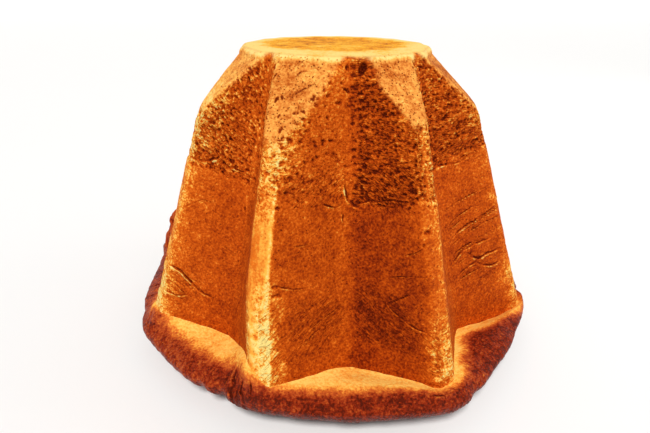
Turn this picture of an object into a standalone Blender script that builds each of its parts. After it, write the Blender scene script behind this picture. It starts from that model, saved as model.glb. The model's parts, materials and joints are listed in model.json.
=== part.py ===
"""A pandoro: a tall eight-pointed star cake, whole and uncut, standing on its wide dark crust.

The cake is one solid. It starts as a ball of dough, a plain UV sphere, whose parallels become the rows of
the cake from the middle of its top to the middle of its underside, and whose meridians become its columns.
Each point is then pressed to the star that its tin gives it, or to the crust that rose out of the tin.

Angles are measured from the front (-Y) towards the right (+X). A valley of the star faces the front.
"""
import math

import bmesh
import bpy
import numpy as np

# The star, in metres. Heights are measured up from the shelf, where the star meets its crust.
STAR_HEIGHT = 0.135
POINTS = 8
RIDGE_REACH_BASE = 0.1165
RIDGE_REACH_TOP = 0.0730
RIDGE_BLUNT = 0.0061
RIDGE_SOFTNESS = 0.0017
VALLEY_REACH_BASE = 0.0842
VALLEY_REACH_TOP = 0.0458
VALLEY_FILL = 0.0008
VALLEY_SOFTNESS = 0.0028

# The shoulders: eight flat facets that slope from the small flat top down to the ridges.
TOP_CORNER_REACH = 0.0482
SHOULDER_RUN_PER_DROP = 1.15
SHOULDER_SOFTNESS = 0.0036
RIM_ROUND = 0.0033

# The crust that rose over the tin's edge, and that the cake now stands on.
CRUST_DEPTH = 0.024
CRUST_REACH = 0.1225
CRUST_FLATNESS = 0.7
CRUST_CORNER_DEGREES = 5.0
CRUST_WIDEST_BELOW_SHELF = 0.0074
SHELF_REACH = 0.0945
SHELF_MARGIN = 0.002
SHELF_DIP = 0.0012
UNDERSIDE_REACH = 0.084

# No two ridges are alike: one value for each ridge, from the front right one round past the back.
RIDGE_TURN_DEGREES = (-1.0, 0.6, 1.2, -0.8, 1.0, -0.6, 0.4, -4.0)
RIDGE_SWELL = (0.0, 0.0022, -0.0010, 0.0008, -0.0012, 0.0010, 0.0004, 0.0)
CRUST_SWELL = (0.0034, -0.0014, 0.0010, -0.0015, 0.0020, 0.0, -0.0012, -0.0038)

# Pleats where the crust was pinched as it sank: azimuth and half width in degrees, depth in metres.
PLEATS = (
    (-33.0, 3.2, 0.0022),
    (-39.5, 2.8, 0.0012),
    (28.5, 3.0, 0.0014),
    (74.0, 3.4, 0.0018),
    (108.0, 3.0, 0.0012),
    (151.0, 3.6, 0.0024),
    (-163.0, 3.2, 0.0018),
    (-128.0, 3.0, 0.0016),
    (-73.0, 3.4, 0.0014),
)

# The lobe of crust that climbed one ridge at the left of the back while it baked.
LOBE_AZIMUTH_DEGREES = -110.0
LOBE_HALF_WIDTH_DEGREES = 14.0
LOBE_REACH = 0.1206
LOBE_SIDE_FALL = 0.033
LOBE_HEIGHT = 0.036
LOBE_TOP_FALL = 0.0175
LOBE_SOFTNESS = 0.003

# The mesh: columns round the cake, closer together at the ridges, and rows in each stretch of its outline.
# The row between shoulder and flank follows their meeting line, down from the rim by at least a small level.
COLUMNS = 96
COLUMN_CROWDING = 0.45
ROWS = {
    "top": 4,
    "rim": 3,
    "shoulder": 7,
    "flank": 14,
    "shelf": 3,
    "brow": 5,
    "belly": 5,
    "underside": 4,
}

SHORTEST_SHOULDER = 0.02
HALVINGS = 30
SHARP_EDGE_DEGREES = 50.0

CRUMB_COLOUR = (0.60, 0.25, 0.055, 1.0)
CRUMB_ROUGHNESS = 0.62

SECTOR = 2.0 * math.pi / POINTS
HALF_SECTOR = SECTOR / 2.0
RIM_LEVEL = 1.0 - RIM_ROUND / STAR_HEIGHT


def soft_min(a, b, softness):
    """The lower of two distances, with the edge between them rounded over."""
    mix = np.clip(0.5 + 0.5 * (b - a) / softness, 0.0, 1.0)
    return b * (1.0 - mix) + a * mix - softness * mix * (1.0 - mix)


def soft_max(a, b, softness):
    """The higher of two distances, with the corner between them filled."""
    return -soft_min(-a, -b, softness)


def from_ridge(azimuth):
    """The angle between a direction and the middle line of the nearest ridge."""
    return np.abs(np.mod(azimuth, SECTOR) - HALF_SECTOR)


def by_ridge(azimuth, values):
    """A value that is given for each ridge and fades to nothing at the valleys beside it."""
    ridge = np.mod(np.floor(azimuth / SECTOR), POINTS).astype(int)
    fade = (1.0 + np.cos(POINTS * from_ridge(azimuth))) / 2.0
    return np.asarray(values)[ridge] * fade


def flank(azimuth, level):
    """How far the star's drafted side is from the axis; level is 0 at the shelf and 1 at the top."""
    swell = by_ridge(azimuth, RIDGE_SWELL) * (1.0 - level)
    ridge = RIDGE_REACH_BASE + (RIDGE_REACH_TOP - RIDGE_REACH_BASE) * level + swell
    valley = VALLEY_REACH_BASE + (VALLEY_REACH_TOP - VALLEY_REACH_BASE) * level
    turn = from_ridge(azimuth)
    face = ridge * valley * math.sin(HALF_SECTOR) / (
        ridge * np.sin(turn) + valley * np.sin(HALF_SECTOR - turn)
    )
    tip = (ridge - RIDGE_BLUNT) / np.cos(turn)
    blunted = soft_min(face, tip, RIDGE_SOFTNESS)
    return soft_max(blunted, valley + VALLEY_FILL, VALLEY_SOFTNESS)


def shoulder(azimuth, level):
    """How far the sloping facet over a ridge is from the axis."""
    apothem = TOP_CORNER_REACH * math.cos(HALF_SECTOR)
    drop = (1.0 - level) * STAR_HEIGHT
    return (apothem + drop * SHOULDER_RUN_PER_DROP) / np.cos(from_ridge(azimuth))


def degrees_from(azimuth, middle_degrees):
    """How far a direction is from a place round the cake, in degrees, less than 0 on its left."""
    return np.mod(np.degrees(azimuth) - middle_degrees + 180.0, 360.0) - 180.0


def lobe(azimuth, level):
    """The reach of the crust that climbed the ridge: a blob, rounded across and up."""
    across = degrees_from(azimuth, LOBE_AZIMUTH_DEGREES) / LOBE_HALF_WIDTH_DEGREES
    up = level * STAR_HEIGHT / LOBE_HEIGHT
    return LOBE_REACH - LOBE_SIDE_FALL * across**2 - LOBE_TOP_FALL * up**2


def star(azimuth, level):
    """The star's outline at a level: its drafted flanks, cut by the shoulders, with the lobe on it."""
    sides = soft_min(flank(azimuth, level), shoulder(azimuth, level), SHOULDER_SOFTNESS)
    return soft_max(sides, lobe(azimuth, level), LOBE_SOFTNESS)


def shoulder_level(azimuth):
    """The level at which the shoulder meets the flank in each column, found by halving."""
    low = np.zeros_like(azimuth)
    high = np.ones_like(azimuth)
    for _ in range(HALVINGS):
        middle = (low + high) / 2.0
        flank_inside = flank(azimuth, middle) < shoulder(azimuth, middle)
        low = np.where(flank_inside, middle, low)
        high = np.where(flank_inside, high, middle)
    return np.minimum(low, RIM_LEVEL - SHORTEST_SHOULDER)


def pleats(azimuth):
    """How deep the crust is pinched in."""
    depth = np.zeros_like(azimuth)
    for middle, half_width, deepest in PLEATS:
        across = np.clip(degrees_from(azimuth, middle) / half_width, -1.0, 1.0)
        depth += deepest * (1.0 + np.cos(math.pi * across)) / 2.0
    return depth


def crust(azimuth):
    """The reach of the crust where it is widest: between a circle and a rounded octagon, and uneven."""
    rounded = np.hypot(from_ridge(azimuth), math.radians(CRUST_CORNER_DEGREES))
    octagon = math.cos(HALF_SECTOR) / np.cos(HALF_SECTOR - rounded)
    reach = CRUST_REACH * (1.0 + CRUST_FLATNESS * (octagon - 1.0)) + by_ridge(azimuth, CRUST_SWELL)
    return soft_max(reach, lobe(azimuth, 0.0) + SHELF_MARGIN, LOBE_SOFTNESS) - pleats(azimuth)


def outline(azimuth, stretch, along):
    """The distance from the axis and the height over the shelf, some way along a stretch of the outline."""
    quarter = along * math.pi / 2.0
    base = star(azimuth, np.zeros_like(azimuth))
    edge = np.maximum(base + SHELF_MARGIN, SHELF_REACH)
    widest = crust(azimuth)
    if stretch in ("top", "rim"):
        rim = star(azimuth, np.full_like(azimuth, RIM_LEVEL))
        if stretch == "top":
            return (rim - RIM_ROUND) * along, np.full_like(azimuth, STAR_HEIGHT)
        return rim - RIM_ROUND * (1.0 - np.sin(quarter)), STAR_HEIGHT - RIM_ROUND * (1.0 - np.cos(quarter))
    if stretch in ("shoulder", "flank"):
        meeting = shoulder_level(azimuth)
        if stretch == "shoulder":
            level = RIM_LEVEL + (meeting - RIM_LEVEL) * along
        else:
            level = meeting * (1.0 - along)
        return star(azimuth, level), level * STAR_HEIGHT
    if stretch == "shelf":
        return base + (edge - base) * along, -SHELF_DIP * along
    if stretch == "brow":
        fall = (CRUST_WIDEST_BELOW_SHELF - SHELF_DIP) * (1.0 - np.cos(quarter))
        return edge + (widest - edge) * np.sin(quarter), -SHELF_DIP - fall
    if stretch == "belly":
        fall = (CRUST_DEPTH - CRUST_WIDEST_BELOW_SHELF) * np.sin(quarter)
        reach = UNDERSIDE_REACH + (widest - UNDERSIDE_REACH) * np.cos(quarter)
        return reach, -CRUST_WIDEST_BELOW_SHELF - fall
    return UNDERSIDE_REACH * (1.0 - along), np.full_like(azimuth, -CRUST_DEPTH)


def press(points):
    """Where the points of the dough ball come to lie on the cake."""
    row = np.rint(np.arccos(np.clip(points[:, 2], -1.0, 1.0)) / math.pi * sum(ROWS.values()))
    around = np.arctan2(points[:, 0], -points[:, 1])
    azimuth = around + COLUMN_CROWDING * np.sin(POINTS * around) / POINTS
    reach = np.zeros_like(azimuth)
    height = np.zeros_like(azimuth)
    first = 0
    for stretch, count in ROWS.items():
        here = (row >= first) & (row <= first + count)
        reach[here], height[here] = outline(azimuth[here], stretch, (row[here] - first) / count)
        first += count
    placed = azimuth + by_ridge(azimuth, np.radians(RIDGE_TURN_DEGREES))
    return np.column_stack((reach * np.sin(placed), -reach * np.cos(placed), height))


def stand_on_origin(points):
    """Moves the cake so that the middle of its box's bottom is the origin."""
    low = points.min(axis=0)
    high = points.max(axis=0)
    return points - ((low[0] + high[0]) / 2.0, (low[1] + high[1]) / 2.0, low[2])


def crumb_material():
    """The baked surface: golden brown and dull."""
    material = bpy.data.materials.new("golden_crumb")
    material.use_nodes = True
    shader = material.node_tree.nodes["Principled BSDF"]
    shader.inputs["Base Color"].default_value = CRUMB_COLOUR
    shader.inputs["Roughness"].default_value = CRUMB_ROUGHNESS
    shader.inputs["Metallic"].default_value = 0.0
    return material


def make_pandoro(collection):
    """The ball of dough, pressed into the star on its crust."""
    dough = bmesh.new()
    bmesh.ops.create_uvsphere(dough, u_segments=COLUMNS, v_segments=sum(ROWS.values()), radius=1.0)
    pressed = stand_on_origin(press(np.array([vertex.co for vertex in dough.verts])))
    for vertex, place in zip(dough.verts, pressed):
        vertex.co = place
    mesh = bpy.data.meshes.new("pandoro")
    dough.to_mesh(mesh)
    dough.free()
    mesh.shade_smooth()
    mesh.set_sharp_from_angle(angle=math.radians(SHARP_EDGE_DEGREES))
    mesh.materials.append(crumb_material())
    cake = bpy.data.objects.new("pandoro", mesh)
    collection.objects.link(cake)


for leftover in list(bpy.data.objects):
    bpy.data.objects.remove(leftover)

parts = bpy.data.collections.new("pandoro")
bpy.context.scene.collection.children.link(parts)
make_pandoro(parts)
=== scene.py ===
# %% [markdown]
# # A pandoro, in cells
#
# This lesson dresses one plain solid, a tall star-shaped cake, as the real thing: a golden crumb with open
# pores, wrinkled where it crept down its tin, standing on a dark crust. The solid gives the place and the
# size. Here the skin is built again over the same curves, finely enough to hold every hole and fold.

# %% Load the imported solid
import json
import math

import bpy
import numpy as np
from mathutils import Matrix, Vector

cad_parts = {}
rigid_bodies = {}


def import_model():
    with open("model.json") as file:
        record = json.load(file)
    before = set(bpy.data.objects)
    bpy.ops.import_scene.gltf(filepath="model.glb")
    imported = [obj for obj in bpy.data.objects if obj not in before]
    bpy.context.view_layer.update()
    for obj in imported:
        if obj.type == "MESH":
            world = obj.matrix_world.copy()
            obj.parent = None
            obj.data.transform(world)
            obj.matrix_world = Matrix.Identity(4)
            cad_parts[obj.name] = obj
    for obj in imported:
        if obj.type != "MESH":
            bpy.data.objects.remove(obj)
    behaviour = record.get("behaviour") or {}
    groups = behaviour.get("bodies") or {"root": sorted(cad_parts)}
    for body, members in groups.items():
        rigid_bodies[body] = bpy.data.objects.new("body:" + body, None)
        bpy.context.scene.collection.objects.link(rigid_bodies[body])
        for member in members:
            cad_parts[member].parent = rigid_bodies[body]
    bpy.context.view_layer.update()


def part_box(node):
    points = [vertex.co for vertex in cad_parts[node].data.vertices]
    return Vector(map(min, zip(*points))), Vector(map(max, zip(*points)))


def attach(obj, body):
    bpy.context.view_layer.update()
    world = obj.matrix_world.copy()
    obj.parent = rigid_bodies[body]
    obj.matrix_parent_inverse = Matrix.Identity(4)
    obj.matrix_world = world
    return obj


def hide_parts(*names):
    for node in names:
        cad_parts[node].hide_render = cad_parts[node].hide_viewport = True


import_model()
low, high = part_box("pandoro")
print("the solid is", [round(1000 * (b - a), 1) for a, b in zip(low, high)], "mm")

# %% [markdown]
# ## The camera
#
# The cake is seen from close by and from above, so its verticals lean together. A camera could be turned
# by hand until it looks right. Here its place, its three turns and its lens are numbers, and a matrix is
# built from them, so that nothing is left to the eye. It stands a little left of the front valley.

# %% Stand the camera
STAR_HEIGHT = 0.135
SHELF_HEIGHT = 0.024
AXIS_Y = 0.00054

CAMERA_AZIMUTH = math.radians(-6.39)
CAMERA_DISTANCE = 0.25977
CAMERA_HEIGHT = 0.18392
CAMERA_PITCH = 0.4512
CAMERA_ROLL = 0.0128
LENS_MM = 25.88
SENSOR_MM = 36.0
FRAME_WIDTH = 650
MIDDLE_RIGHT_OF_CENTRE = 9.0

camera_data = bpy.data.cameras.new("camera")
camera_data.lens = LENS_MM
camera_data.sensor_width = SENSOR_MM
camera_data.shift_x = -MIDDLE_RIGHT_OF_CENTRE / FRAME_WIDTH
camera_data.clip_start = 0.01
camera_data.clip_end = 50.0
camera = bpy.data.objects.new("camera", camera_data)
bpy.context.scene.collection.objects.link(camera)

ahead = Vector((-math.sin(CAMERA_AZIMUTH), math.cos(CAMERA_AZIMUTH), 0.0)) * math.cos(CAMERA_PITCH)
ahead.z = -math.sin(CAMERA_PITCH)
level_right = ahead.cross(Vector((0.0, 0.0, 1.0))).normalized()
level_up = level_right.cross(ahead)
right = level_right * math.cos(CAMERA_ROLL) + level_up * math.sin(CAMERA_ROLL)
up = right.cross(ahead)
place = Vector((
    math.sin(CAMERA_AZIMUTH) * CAMERA_DISTANCE,
    AXIS_Y - math.cos(CAMERA_AZIMUTH) * CAMERA_DISTANCE,
    CAMERA_HEIGHT,
))
camera.matrix_world = Matrix((
    (right.x, up.x, -ahead.x, place.x),
    (right.y, up.y, -ahead.y, place.y),
    (right.z, up.z, -ahead.z, place.z),
    (0.0, 0.0, 0.0, 1.0),
))
bpy.context.scene.camera = camera
print("the camera stands at", [round(c, 4) for c in place])

# %% [markdown]
# ## The curves of the cake
#
# The star has eight ridges and eight valleys. Its sides lean in, as its tin does, and eight sloping facets
# cut its ridges off at the top. It could be modelled from a cylinder with loops pulled in and out. A
# formula is better here: it gives the distance from the axis in a direction and at a level, so one grid
# of points can be pressed to all the shapes at once. Directions start at the front and go round by the
# right. A level is 0 at the shelf and 1 at the top.


# %% Soft edges between shapes
def soft_min(a, b, softness):
    """The lower of two distances, with the edge between them rounded over."""
    mix = np.clip(0.5 + 0.5 * (b - a) / softness, 0.0, 1.0)
    return b * (1.0 - mix) + a * mix - softness * mix * (1.0 - mix)


def soft_max(a, b, softness):
    """The higher of two distances, with the corner between them filled."""
    return -soft_min(-a, -b, softness)


def ease(value, start, end):
    """0 before start, 1 after end, and a smooth climb between them. It also runs backwards."""
    along = np.clip((value - start) / (end - start), 0.0, 1.0)
    return along * along * (3.0 - 2.0 * along)


print("two walls 1 and 2 cm away meet at", round(float(soft_min(0.01, 0.02, 0.03)), 4), "m")

# %% Directions round the star
POINTS = 8
SECTOR = 2.0 * math.pi / POINTS
HALF_SECTOR = SECTOR / 2.0


def from_ridge(azimuth):
    """The angle between a direction and the middle line of the nearest ridge."""
    return np.abs(np.mod(azimuth, SECTOR) - HALF_SECTOR)


def by_ridge(azimuth, values):
    """A value that is given for each ridge and fades to nothing at the valleys beside it."""
    ridge = np.mod(np.floor(azimuth / SECTOR), POINTS).astype(int)
    return np.asarray(values)[ridge] * (1.0 + np.cos(POINTS * from_ridge(azimuth))) / 2.0


print("the star has", POINTS, "ridges,", math.degrees(SECTOR), "degrees apart")

# %% The star's leaning side
# Reaches are in metres from the axis, at the shelf and at the top.
RIDGE_REACH = (0.1165, 0.0730)
RIDGE_BLUNT = 0.0061
RIDGE_SOFTNESS = 0.0026
VALLEY_REACH = (0.0842, 0.0458)
VALLEY_FILL = 0.0008
VALLEY_SOFTNESS = 0.0060
# How much further each ridge reaches at its foot.
RIDGE_SWELL = (0.0, 0.0022, -0.0010, 0.0008, -0.0012, 0.0010, 0.0004, 0.0)


def side(azimuth, level):
    """How far the star's leaning side is from the axis."""
    ridge = RIDGE_REACH[0] + (RIDGE_REACH[1] - RIDGE_REACH[0]) * level
    ridge = ridge + by_ridge(azimuth, RIDGE_SWELL) * (1.0 - level)
    valley = VALLEY_REACH[0] + (VALLEY_REACH[1] - VALLEY_REACH[0]) * level
    turn = from_ridge(azimuth)
    face = ridge * valley * math.sin(HALF_SECTOR) / (
        ridge * np.sin(turn) + valley * np.sin(HALF_SECTOR - turn)
    )
    blunted = soft_min(face, (ridge - RIDGE_BLUNT) / np.cos(turn), RIDGE_SOFTNESS)
    return soft_max(blunted, valley + VALLEY_FILL, VALLEY_SOFTNESS)


print("at the shelf a ridge reaches", round(1000 * float(side(HALF_SECTOR, 0.0)), 1),
      "mm and a valley", round(1000 * float(side(0.0, 0.0)), 1), "mm")

# %% The sloping shoulders
TOP_CORNER_REACH = 0.0482
SHOULDER_RUN_PER_DROP = 1.15
SHOULDER_SOFTNESS = 0.0042
# For each ridge: how far its facet is turned, in degrees, and how much steeper it is.
SHOULDER_TURN_DEGREES = (0.0, 0.0, 0.0, 0.0, 0.0, 0.0, 0.0, 6.5)
SHOULDER_STEEPER = (0.0, 0.02, -0.02, 0.03, 0.0, 0.02, 0.0, 0.14)
SHOULDER_FADE = 0.12


def shoulder(azimuth, level):
    """How far the sloping facet over a ridge is from the axis."""
    drop = (1.0 - level) * STAR_HEIGHT
    apothem = TOP_CORNER_REACH * math.cos(HALF_SECTOR)
    turned = azimuth - by_ridge(azimuth, np.radians(SHOULDER_TURN_DEGREES))
    ridge = np.mod(np.floor(azimuth / SECTOR), POINTS).astype(int)
    fade = ease(HALF_SECTOR - from_ridge(azimuth), 0.0, SHOULDER_FADE)
    steeper = np.asarray(SHOULDER_STEEPER)[ridge] * fade
    return (apothem + drop * (SHOULDER_RUN_PER_DROP - steeper)) / np.cos(from_ridge(turned))


print("the shoulders start", round(1000 * float(shoulder(HALF_SECTOR, 1.0)), 1), "mm from the axis")

# %% The crust that climbed one ridge
LOBE_AZIMUTH_DEGREES = -110.0
LOBE_HALF_WIDTH_DEGREES = 14.0
LOBE_REACH = 0.1206
LOBE_SIDE_FALL = 0.033
LOBE_HEIGHT = 0.036
LOBE_TOP_FALL = 0.0175
LOBE_SOFTNESS = 0.003


def degrees_from(azimuth, middle_degrees):
    """How far a direction is from a place round the cake, in degrees, less than 0 on its left."""
    return np.mod(np.degrees(azimuth) - middle_degrees + 180.0, 360.0) - 180.0


def lobe(azimuth, level):
    """The reach of the crust that climbed the ridge: a blob, rounded across and up."""
    across = degrees_from(azimuth, LOBE_AZIMUTH_DEGREES) / LOBE_HALF_WIDTH_DEGREES
    up_it = level * STAR_HEIGHT / LOBE_HEIGHT
    return LOBE_REACH - LOBE_SIDE_FALL * across**2 - LOBE_TOP_FALL * up_it**2


def star(azimuth, level):
    """The star's outline at a level: its sides cut by the shoulders, with the climbing crust on it."""
    cut = soft_min(side(azimuth, level), shoulder(azimuth, level), SHOULDER_SOFTNESS)
    return soft_max(cut, lobe(azimuth, level), LOBE_SOFTNESS)


lobe_reach = float(lobe(math.radians(LOBE_AZIMUTH_DEGREES), 0.0))
print("the climbed crust reaches", round(1000 * lobe_reach, 1), "mm")

# %% [markdown]
# ## Noise for dough
#
# Nothing baked is even. Blender's own noise could be read point by point, but that is slow for half a
# million points. Value noise is quick for all of them at once: random numbers on the corners of a grid
# of cubes, blended smoothly inside each cube. A hash of the corner's whole numbers gives the random
# number, so the cake comes out the same in each run and needs no table.

# %% Value noise
HASH_STEPS = (73856093, 19349663, 83492791)
HASH_STIR = 1274126177


def corner_value(corner, seed):
    """A random number from -1 to 1 for each corner of the grid of cubes."""
    mixed = np.full(corner.shape[:-1], (seed * 2654435761) % 2**32, dtype=np.uint32)
    for axis, step in enumerate(HASH_STEPS):
        mixed = mixed ^ (corner[..., axis].astype(np.int64) * step % 2**32).astype(np.uint32)
        mixed = (mixed ^ (mixed >> np.uint32(13))) * np.uint32(HASH_STIR)
    mixed = mixed ^ (mixed >> np.uint32(16))
    return mixed / 2.0**31 - 1.0


def noise(points, size, seed):
    """Smooth noise from -1 to 1 whose lumps are about as large as size, at many points at once."""
    scaled = points / size
    corner = np.floor(scaled)
    inside = scaled - corner
    inside = inside * inside * (3.0 - 2.0 * inside)
    total = 0.0
    for dx in (0, 1):
        for dy in (0, 1):
            for dz in (0, 1):
                offset = np.array((dx, dy, dz))
                share = np.prod(np.where(offset == 1, inside, 1.0 - inside), axis=-1)
                total = total + share * corner_value(corner + offset, seed)
    return total


def rough_noise(points, size, seed, octaves):
    """Noise with finer and finer noise on it, each half as large and half as strong."""
    return sum(noise(points, size / 2**n, seed + n) / 2**n for n in range(octaves))


def folds(points, size, seed):
    """Sharp creases between rounded lumps, from 0 on a lump to 1 in a crease."""
    return 1.0 - np.abs(noise(points, size, seed))


print("noise at a point:", noise(np.array([[0.011, 0.02, 0.03]]), 0.01, 1).round(3))

# %% [markdown]
# ## A skin that can be pressed
#
# The cake's skin is a grid of columns round it and rows down it. A sphere could be pressed to shape, as a
# ball of dough is, but holes need points every half millimetre where the crumb is open and fewer where it
# is smooth, so the rows are given their own spacing. Marks are pressed into the few points near them, one
# by one, which is far quicker than cutting balls out of a mesh. The deepest press wins, so that neighbouring
# holes join as real bubbles do.

# %% Points and outward directions
# How far each ridge is turned, in degrees, at its foot, at a third of its height and at its top.
RIDGE_TURN_DEGREES = (
    (-0.4, 0.6, 1.2, -0.8, 1.0, -0.6, 0.4, -1.6),
    (0.1, 0.6, 1.2, -0.8, 1.0, -0.6, 0.4, -4.4),
    (1.3, 0.6, 1.2, -0.8, 1.0, -0.6, 0.4, -4.8),
)
TURN_MIDDLE_LEVEL = 0.35


def turn_of(azimuth, level):
    """How far the cake is turned here, because each ridge is a few degrees off its place."""
    at_foot, at_middle, at_top = (by_ridge(azimuth, turns) for turns in np.radians(RIDGE_TURN_DEGREES))
    turn = at_middle + ease(level, TURN_MIDDLE_LEVEL, 0.0) * (at_foot - at_middle)
    higher = np.clip((level - TURN_MIDDLE_LEVEL) / (1.0 - TURN_MIDDLE_LEVEL), 0.0, 1.0)
    return turn + higher * (at_top - at_middle)


def untwisted(degrees, up_mm):
    """The direction on the even star of a spot that is seen at some direction on the turned one."""
    azimuth = math.radians(degrees)
    for _ in range(4):
        azimuth = math.radians(degrees) - float(turn_of(azimuth, up_mm / 1000.0 / STAR_HEIGHT))
    return math.degrees(azimuth)


def spread(azimuth, reach, height):
    """Points in the row frame, with each ridge turned by its own few degrees."""
    placed = azimuth + turn_of(azimuth, height / STAR_HEIGHT) + 0.0 * reach
    x, y = reach * np.sin(placed), AXIS_Y - reach * np.cos(placed)
    return np.stack((x, y, SHELF_HEIGHT + height + 0.0 * reach), axis=-1)


def normals_of(points):
    """The outward direction at each point of a grid that closes on itself round the cake."""
    round_it = np.roll(points, -1, axis=1) - np.roll(points, 1, axis=1)
    normal = np.cross(np.gradient(points, axis=0), round_it)
    return normal / np.maximum(np.linalg.norm(normal, axis=-1, keepdims=True), 1e-12)


leaning = math.degrees(float(turn_of(-HALF_SECTOR, 1.0)))
print("the front left ridge is turned by", round(leaning, 1), "degrees at its top")

# %% A skin and its marks
NO_LINE = 9.0


class Skin:
    """A grid over the cake. Its ladder is a number that only grows from row to row, to find rows by."""

    def __init__(self, azimuths, reach, height, ladder):
        self.azimuths = np.append(azimuths, azimuths[0] + 2.0 * math.pi)
        self.reach = reach
        self.ladder = ladder
        self.points = spread(azimuths[None, :], reach, height)
        self.normals = normals_of(self.points)
        self.sunk = np.zeros_like(reach)
        self.raised = np.zeros_like(reach)
        # How much painted shade each point gets from pits and creases, and from deep holes.
        self.dark = np.zeros_like(reach)
        self.deep = np.zeros_like(reach)
        self.line = np.full_like(reach, NO_LINE)
        self.line_gap = np.full_like(reach, 1.0)
        self.line_strength = np.zeros_like(reach)

    def near(self, degrees, rung, size):
        """The patch of the grid within size of a spot, and each point's distance across and up from it."""
        rows, columns = self.reach.shape
        start = self.azimuths[0]
        azimuth = (math.radians(degrees) - start) % (2.0 * math.pi) + start
        column = min(int(np.searchsorted(self.azimuths, azimuth, "right")) - 1, columns - 1)
        after = (column + 1) % columns
        share = (azimuth - self.azimuths[column]) / (self.azimuths[column + 1] - self.azimuths[column])
        ladder = self.ladder[:, column]
        row = min(max(int(np.searchsorted(ladder, rung, "right")) - 1, 1), rows - 3)
        step = min(max((rung - ladder[row]) / max(ladder[row + 1] - ladder[row], 1e-9), 0.0), 1.0)
        here = self.points[row, column]
        across = self.points[row, after] - here
        upward = here - self.points[row + 1, column]
        middle = here + across * share - upward * step
        wide = max(np.linalg.norm(across), 1e-5)
        tall = max(np.linalg.norm(upward), 1e-5)
        half_columns, half_rows = int(size / wide) + 2, int(size / tall) + 2
        first, last = max(row - half_rows, 1), min(row + half_rows + 1, rows - 1)
        patch = np.ix_(
            np.arange(first, last),
            np.arange(column - half_columns, column + half_columns + 1) % columns,
        )
        offset = self.points[patch] - middle
        return patch, offset @ (across / wide), offset @ (upward / tall)


print("a skin keeps its marks in 7 grids, one number for each point")

# %% Press a pit
HOLLOW_POWER = 1.2
BLACK_PIT_DEPTH = 0.0010
DEEP_PIT_DEPTHS = (0.0009, 0.0022)


def hollow(far):
    """A pit's depth from its middle (1) to its edge (0)."""
    return np.clip(1.0 - far * far, 0.0, 1.0) ** HOLLOW_POWER


def pit(skin, degrees, rung, radius, depth, stretch=1.0, lean=0.0, wobble=(0.0, 2.0)):
    """A hole, longer along a direction that leans (in degrees) up from the horizontal."""
    patch, across, upward = skin.near(degrees, rung, 1.3 * radius * stretch)
    turn = math.radians(lean)
    along = across * math.cos(turn) + upward * math.sin(turn)
    aside = upward * math.cos(turn) - across * math.sin(turn)
    angle = np.arctan2(aside, along)
    size = 1.0 + 0.20 * np.cos(2.0 * angle + wobble[0]) + 0.16 * np.cos(3.0 * angle + wobble[1])
    shape = hollow(np.hypot(along / (radius * stretch), aside / radius) / size)
    skin.sunk[patch] = np.maximum(skin.sunk[patch], depth * shape)
    # The pit's painted shade: full in pits deeper than BLACK_PIT_DEPTH, and more again in deep holes.
    strength = min(depth / BLACK_PIT_DEPTH, 1.0)
    skin.dark[patch] = np.maximum(skin.dark[patch], ease(shape, 0.05, 0.7) * strength)
    deep = np.sqrt(shape) * ease(depth, *DEEP_PIT_DEPTHS)
    skin.deep[patch] = np.maximum(skin.deep[patch], deep)


print("half way to its edge a pit has", round(float(hollow(np.array(0.5))), 2), "of its depth")

# %% Press a crease
MEAN_REACH = 0.085
PATH_ROUNDING = 0.0016
STRIDE_PER_WIDTH = 0.4


def groove(skin, path, width, depth, lip, shade=0.7, ink=1.0):
    """A crease through several spots, with a raised lip along its lower side. It wavers and fades."""
    spots = np.asarray(path, dtype=float)
    steps = np.hypot(np.radians(np.diff(spots[:, 0])) * MEAN_REACH, np.diff(spots[:, 1]))
    length = np.concatenate(([0.0], np.cumsum(steps)))
    stride = STRIDE_PER_WIDTH * width
    travels = np.arange(0.0, length[-1], stride)
    around_it = travels[:, None] + np.linspace(-PATH_ROUNDING, PATH_ROUNDING, 9)[None, :]
    degrees = np.interp(around_it, length, spots[:, 0]).mean(axis=1)
    rungs = np.interp(around_it, length, spots[:, 1]).mean(axis=1)
    sideways, falling = np.gradient(np.radians(degrees) * MEAN_REACH), np.gradient(rungs)
    facing = -1.0 if sideways.sum() < 0.0 else 1.0
    spot = np.stack((travels, np.full_like(travels, 0.01 * spots[0, 0]), 0.0 * travels), axis=-1)
    wavers = 0.7 * noise(spot, 0.0034, 5) + 0.5 * noise(spot, 0.0013, 6)
    fades = 0.30 + 0.70 * ease(noise(spot, 0.0028, 7), -0.5, 0.3)
    for place, travel in enumerate(travels):
        tangent = np.array((sideways[place], -falling[place]))
        tangent = tangent / max(np.linalg.norm(tangent), 1e-9)
        waver = wavers[place]
        size = width * (0.85 + 0.45 * waver)
        taper = fades[place] * math.sin(math.pi * min(max(travel / length[-1], 0.03), 0.97)) ** 0.5
        patch, across, upward = skin.near(float(degrees[place]), float(rungs[place]), 4.0 * width)
        along = np.abs(across * tangent[0] + upward * tangent[1])
        aside = (upward * tangent[0] - across * tangent[1]) * facing - 1.1 * width * waver
        past = np.maximum(along - stride, 0.0)
        shape = hollow(np.hypot(past, aside) / size) * taper
        skin.sunk[patch] = np.maximum(skin.sunk[patch], depth * shape)
        skin.dark[patch] = np.maximum(skin.dark[patch], shape * shade)
        shape = hollow(np.hypot(past, aside + 1.5 * width) / (1.6 * width)) * taper
        skin.raised[patch] = np.maximum(skin.raised[patch], lip * shape)
        gap = np.hypot(past, aside)
        closer = gap < skin.line_gap[patch]
        skin.line[patch] = np.where(closer, aside / size, skin.line[patch])
        strength = ink * taper * ease(gap / size, 3.4, 2.4)
        skin.line_strength[patch] = np.where(closer, strength, skin.line_strength[patch])
        skin.line_gap[patch] = np.where(closer, gap, skin.line_gap[patch])


print("a crease one millimetre wide has a pit every", 1.0 * STRIDE_PER_WIDTH, "mm")

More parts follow.
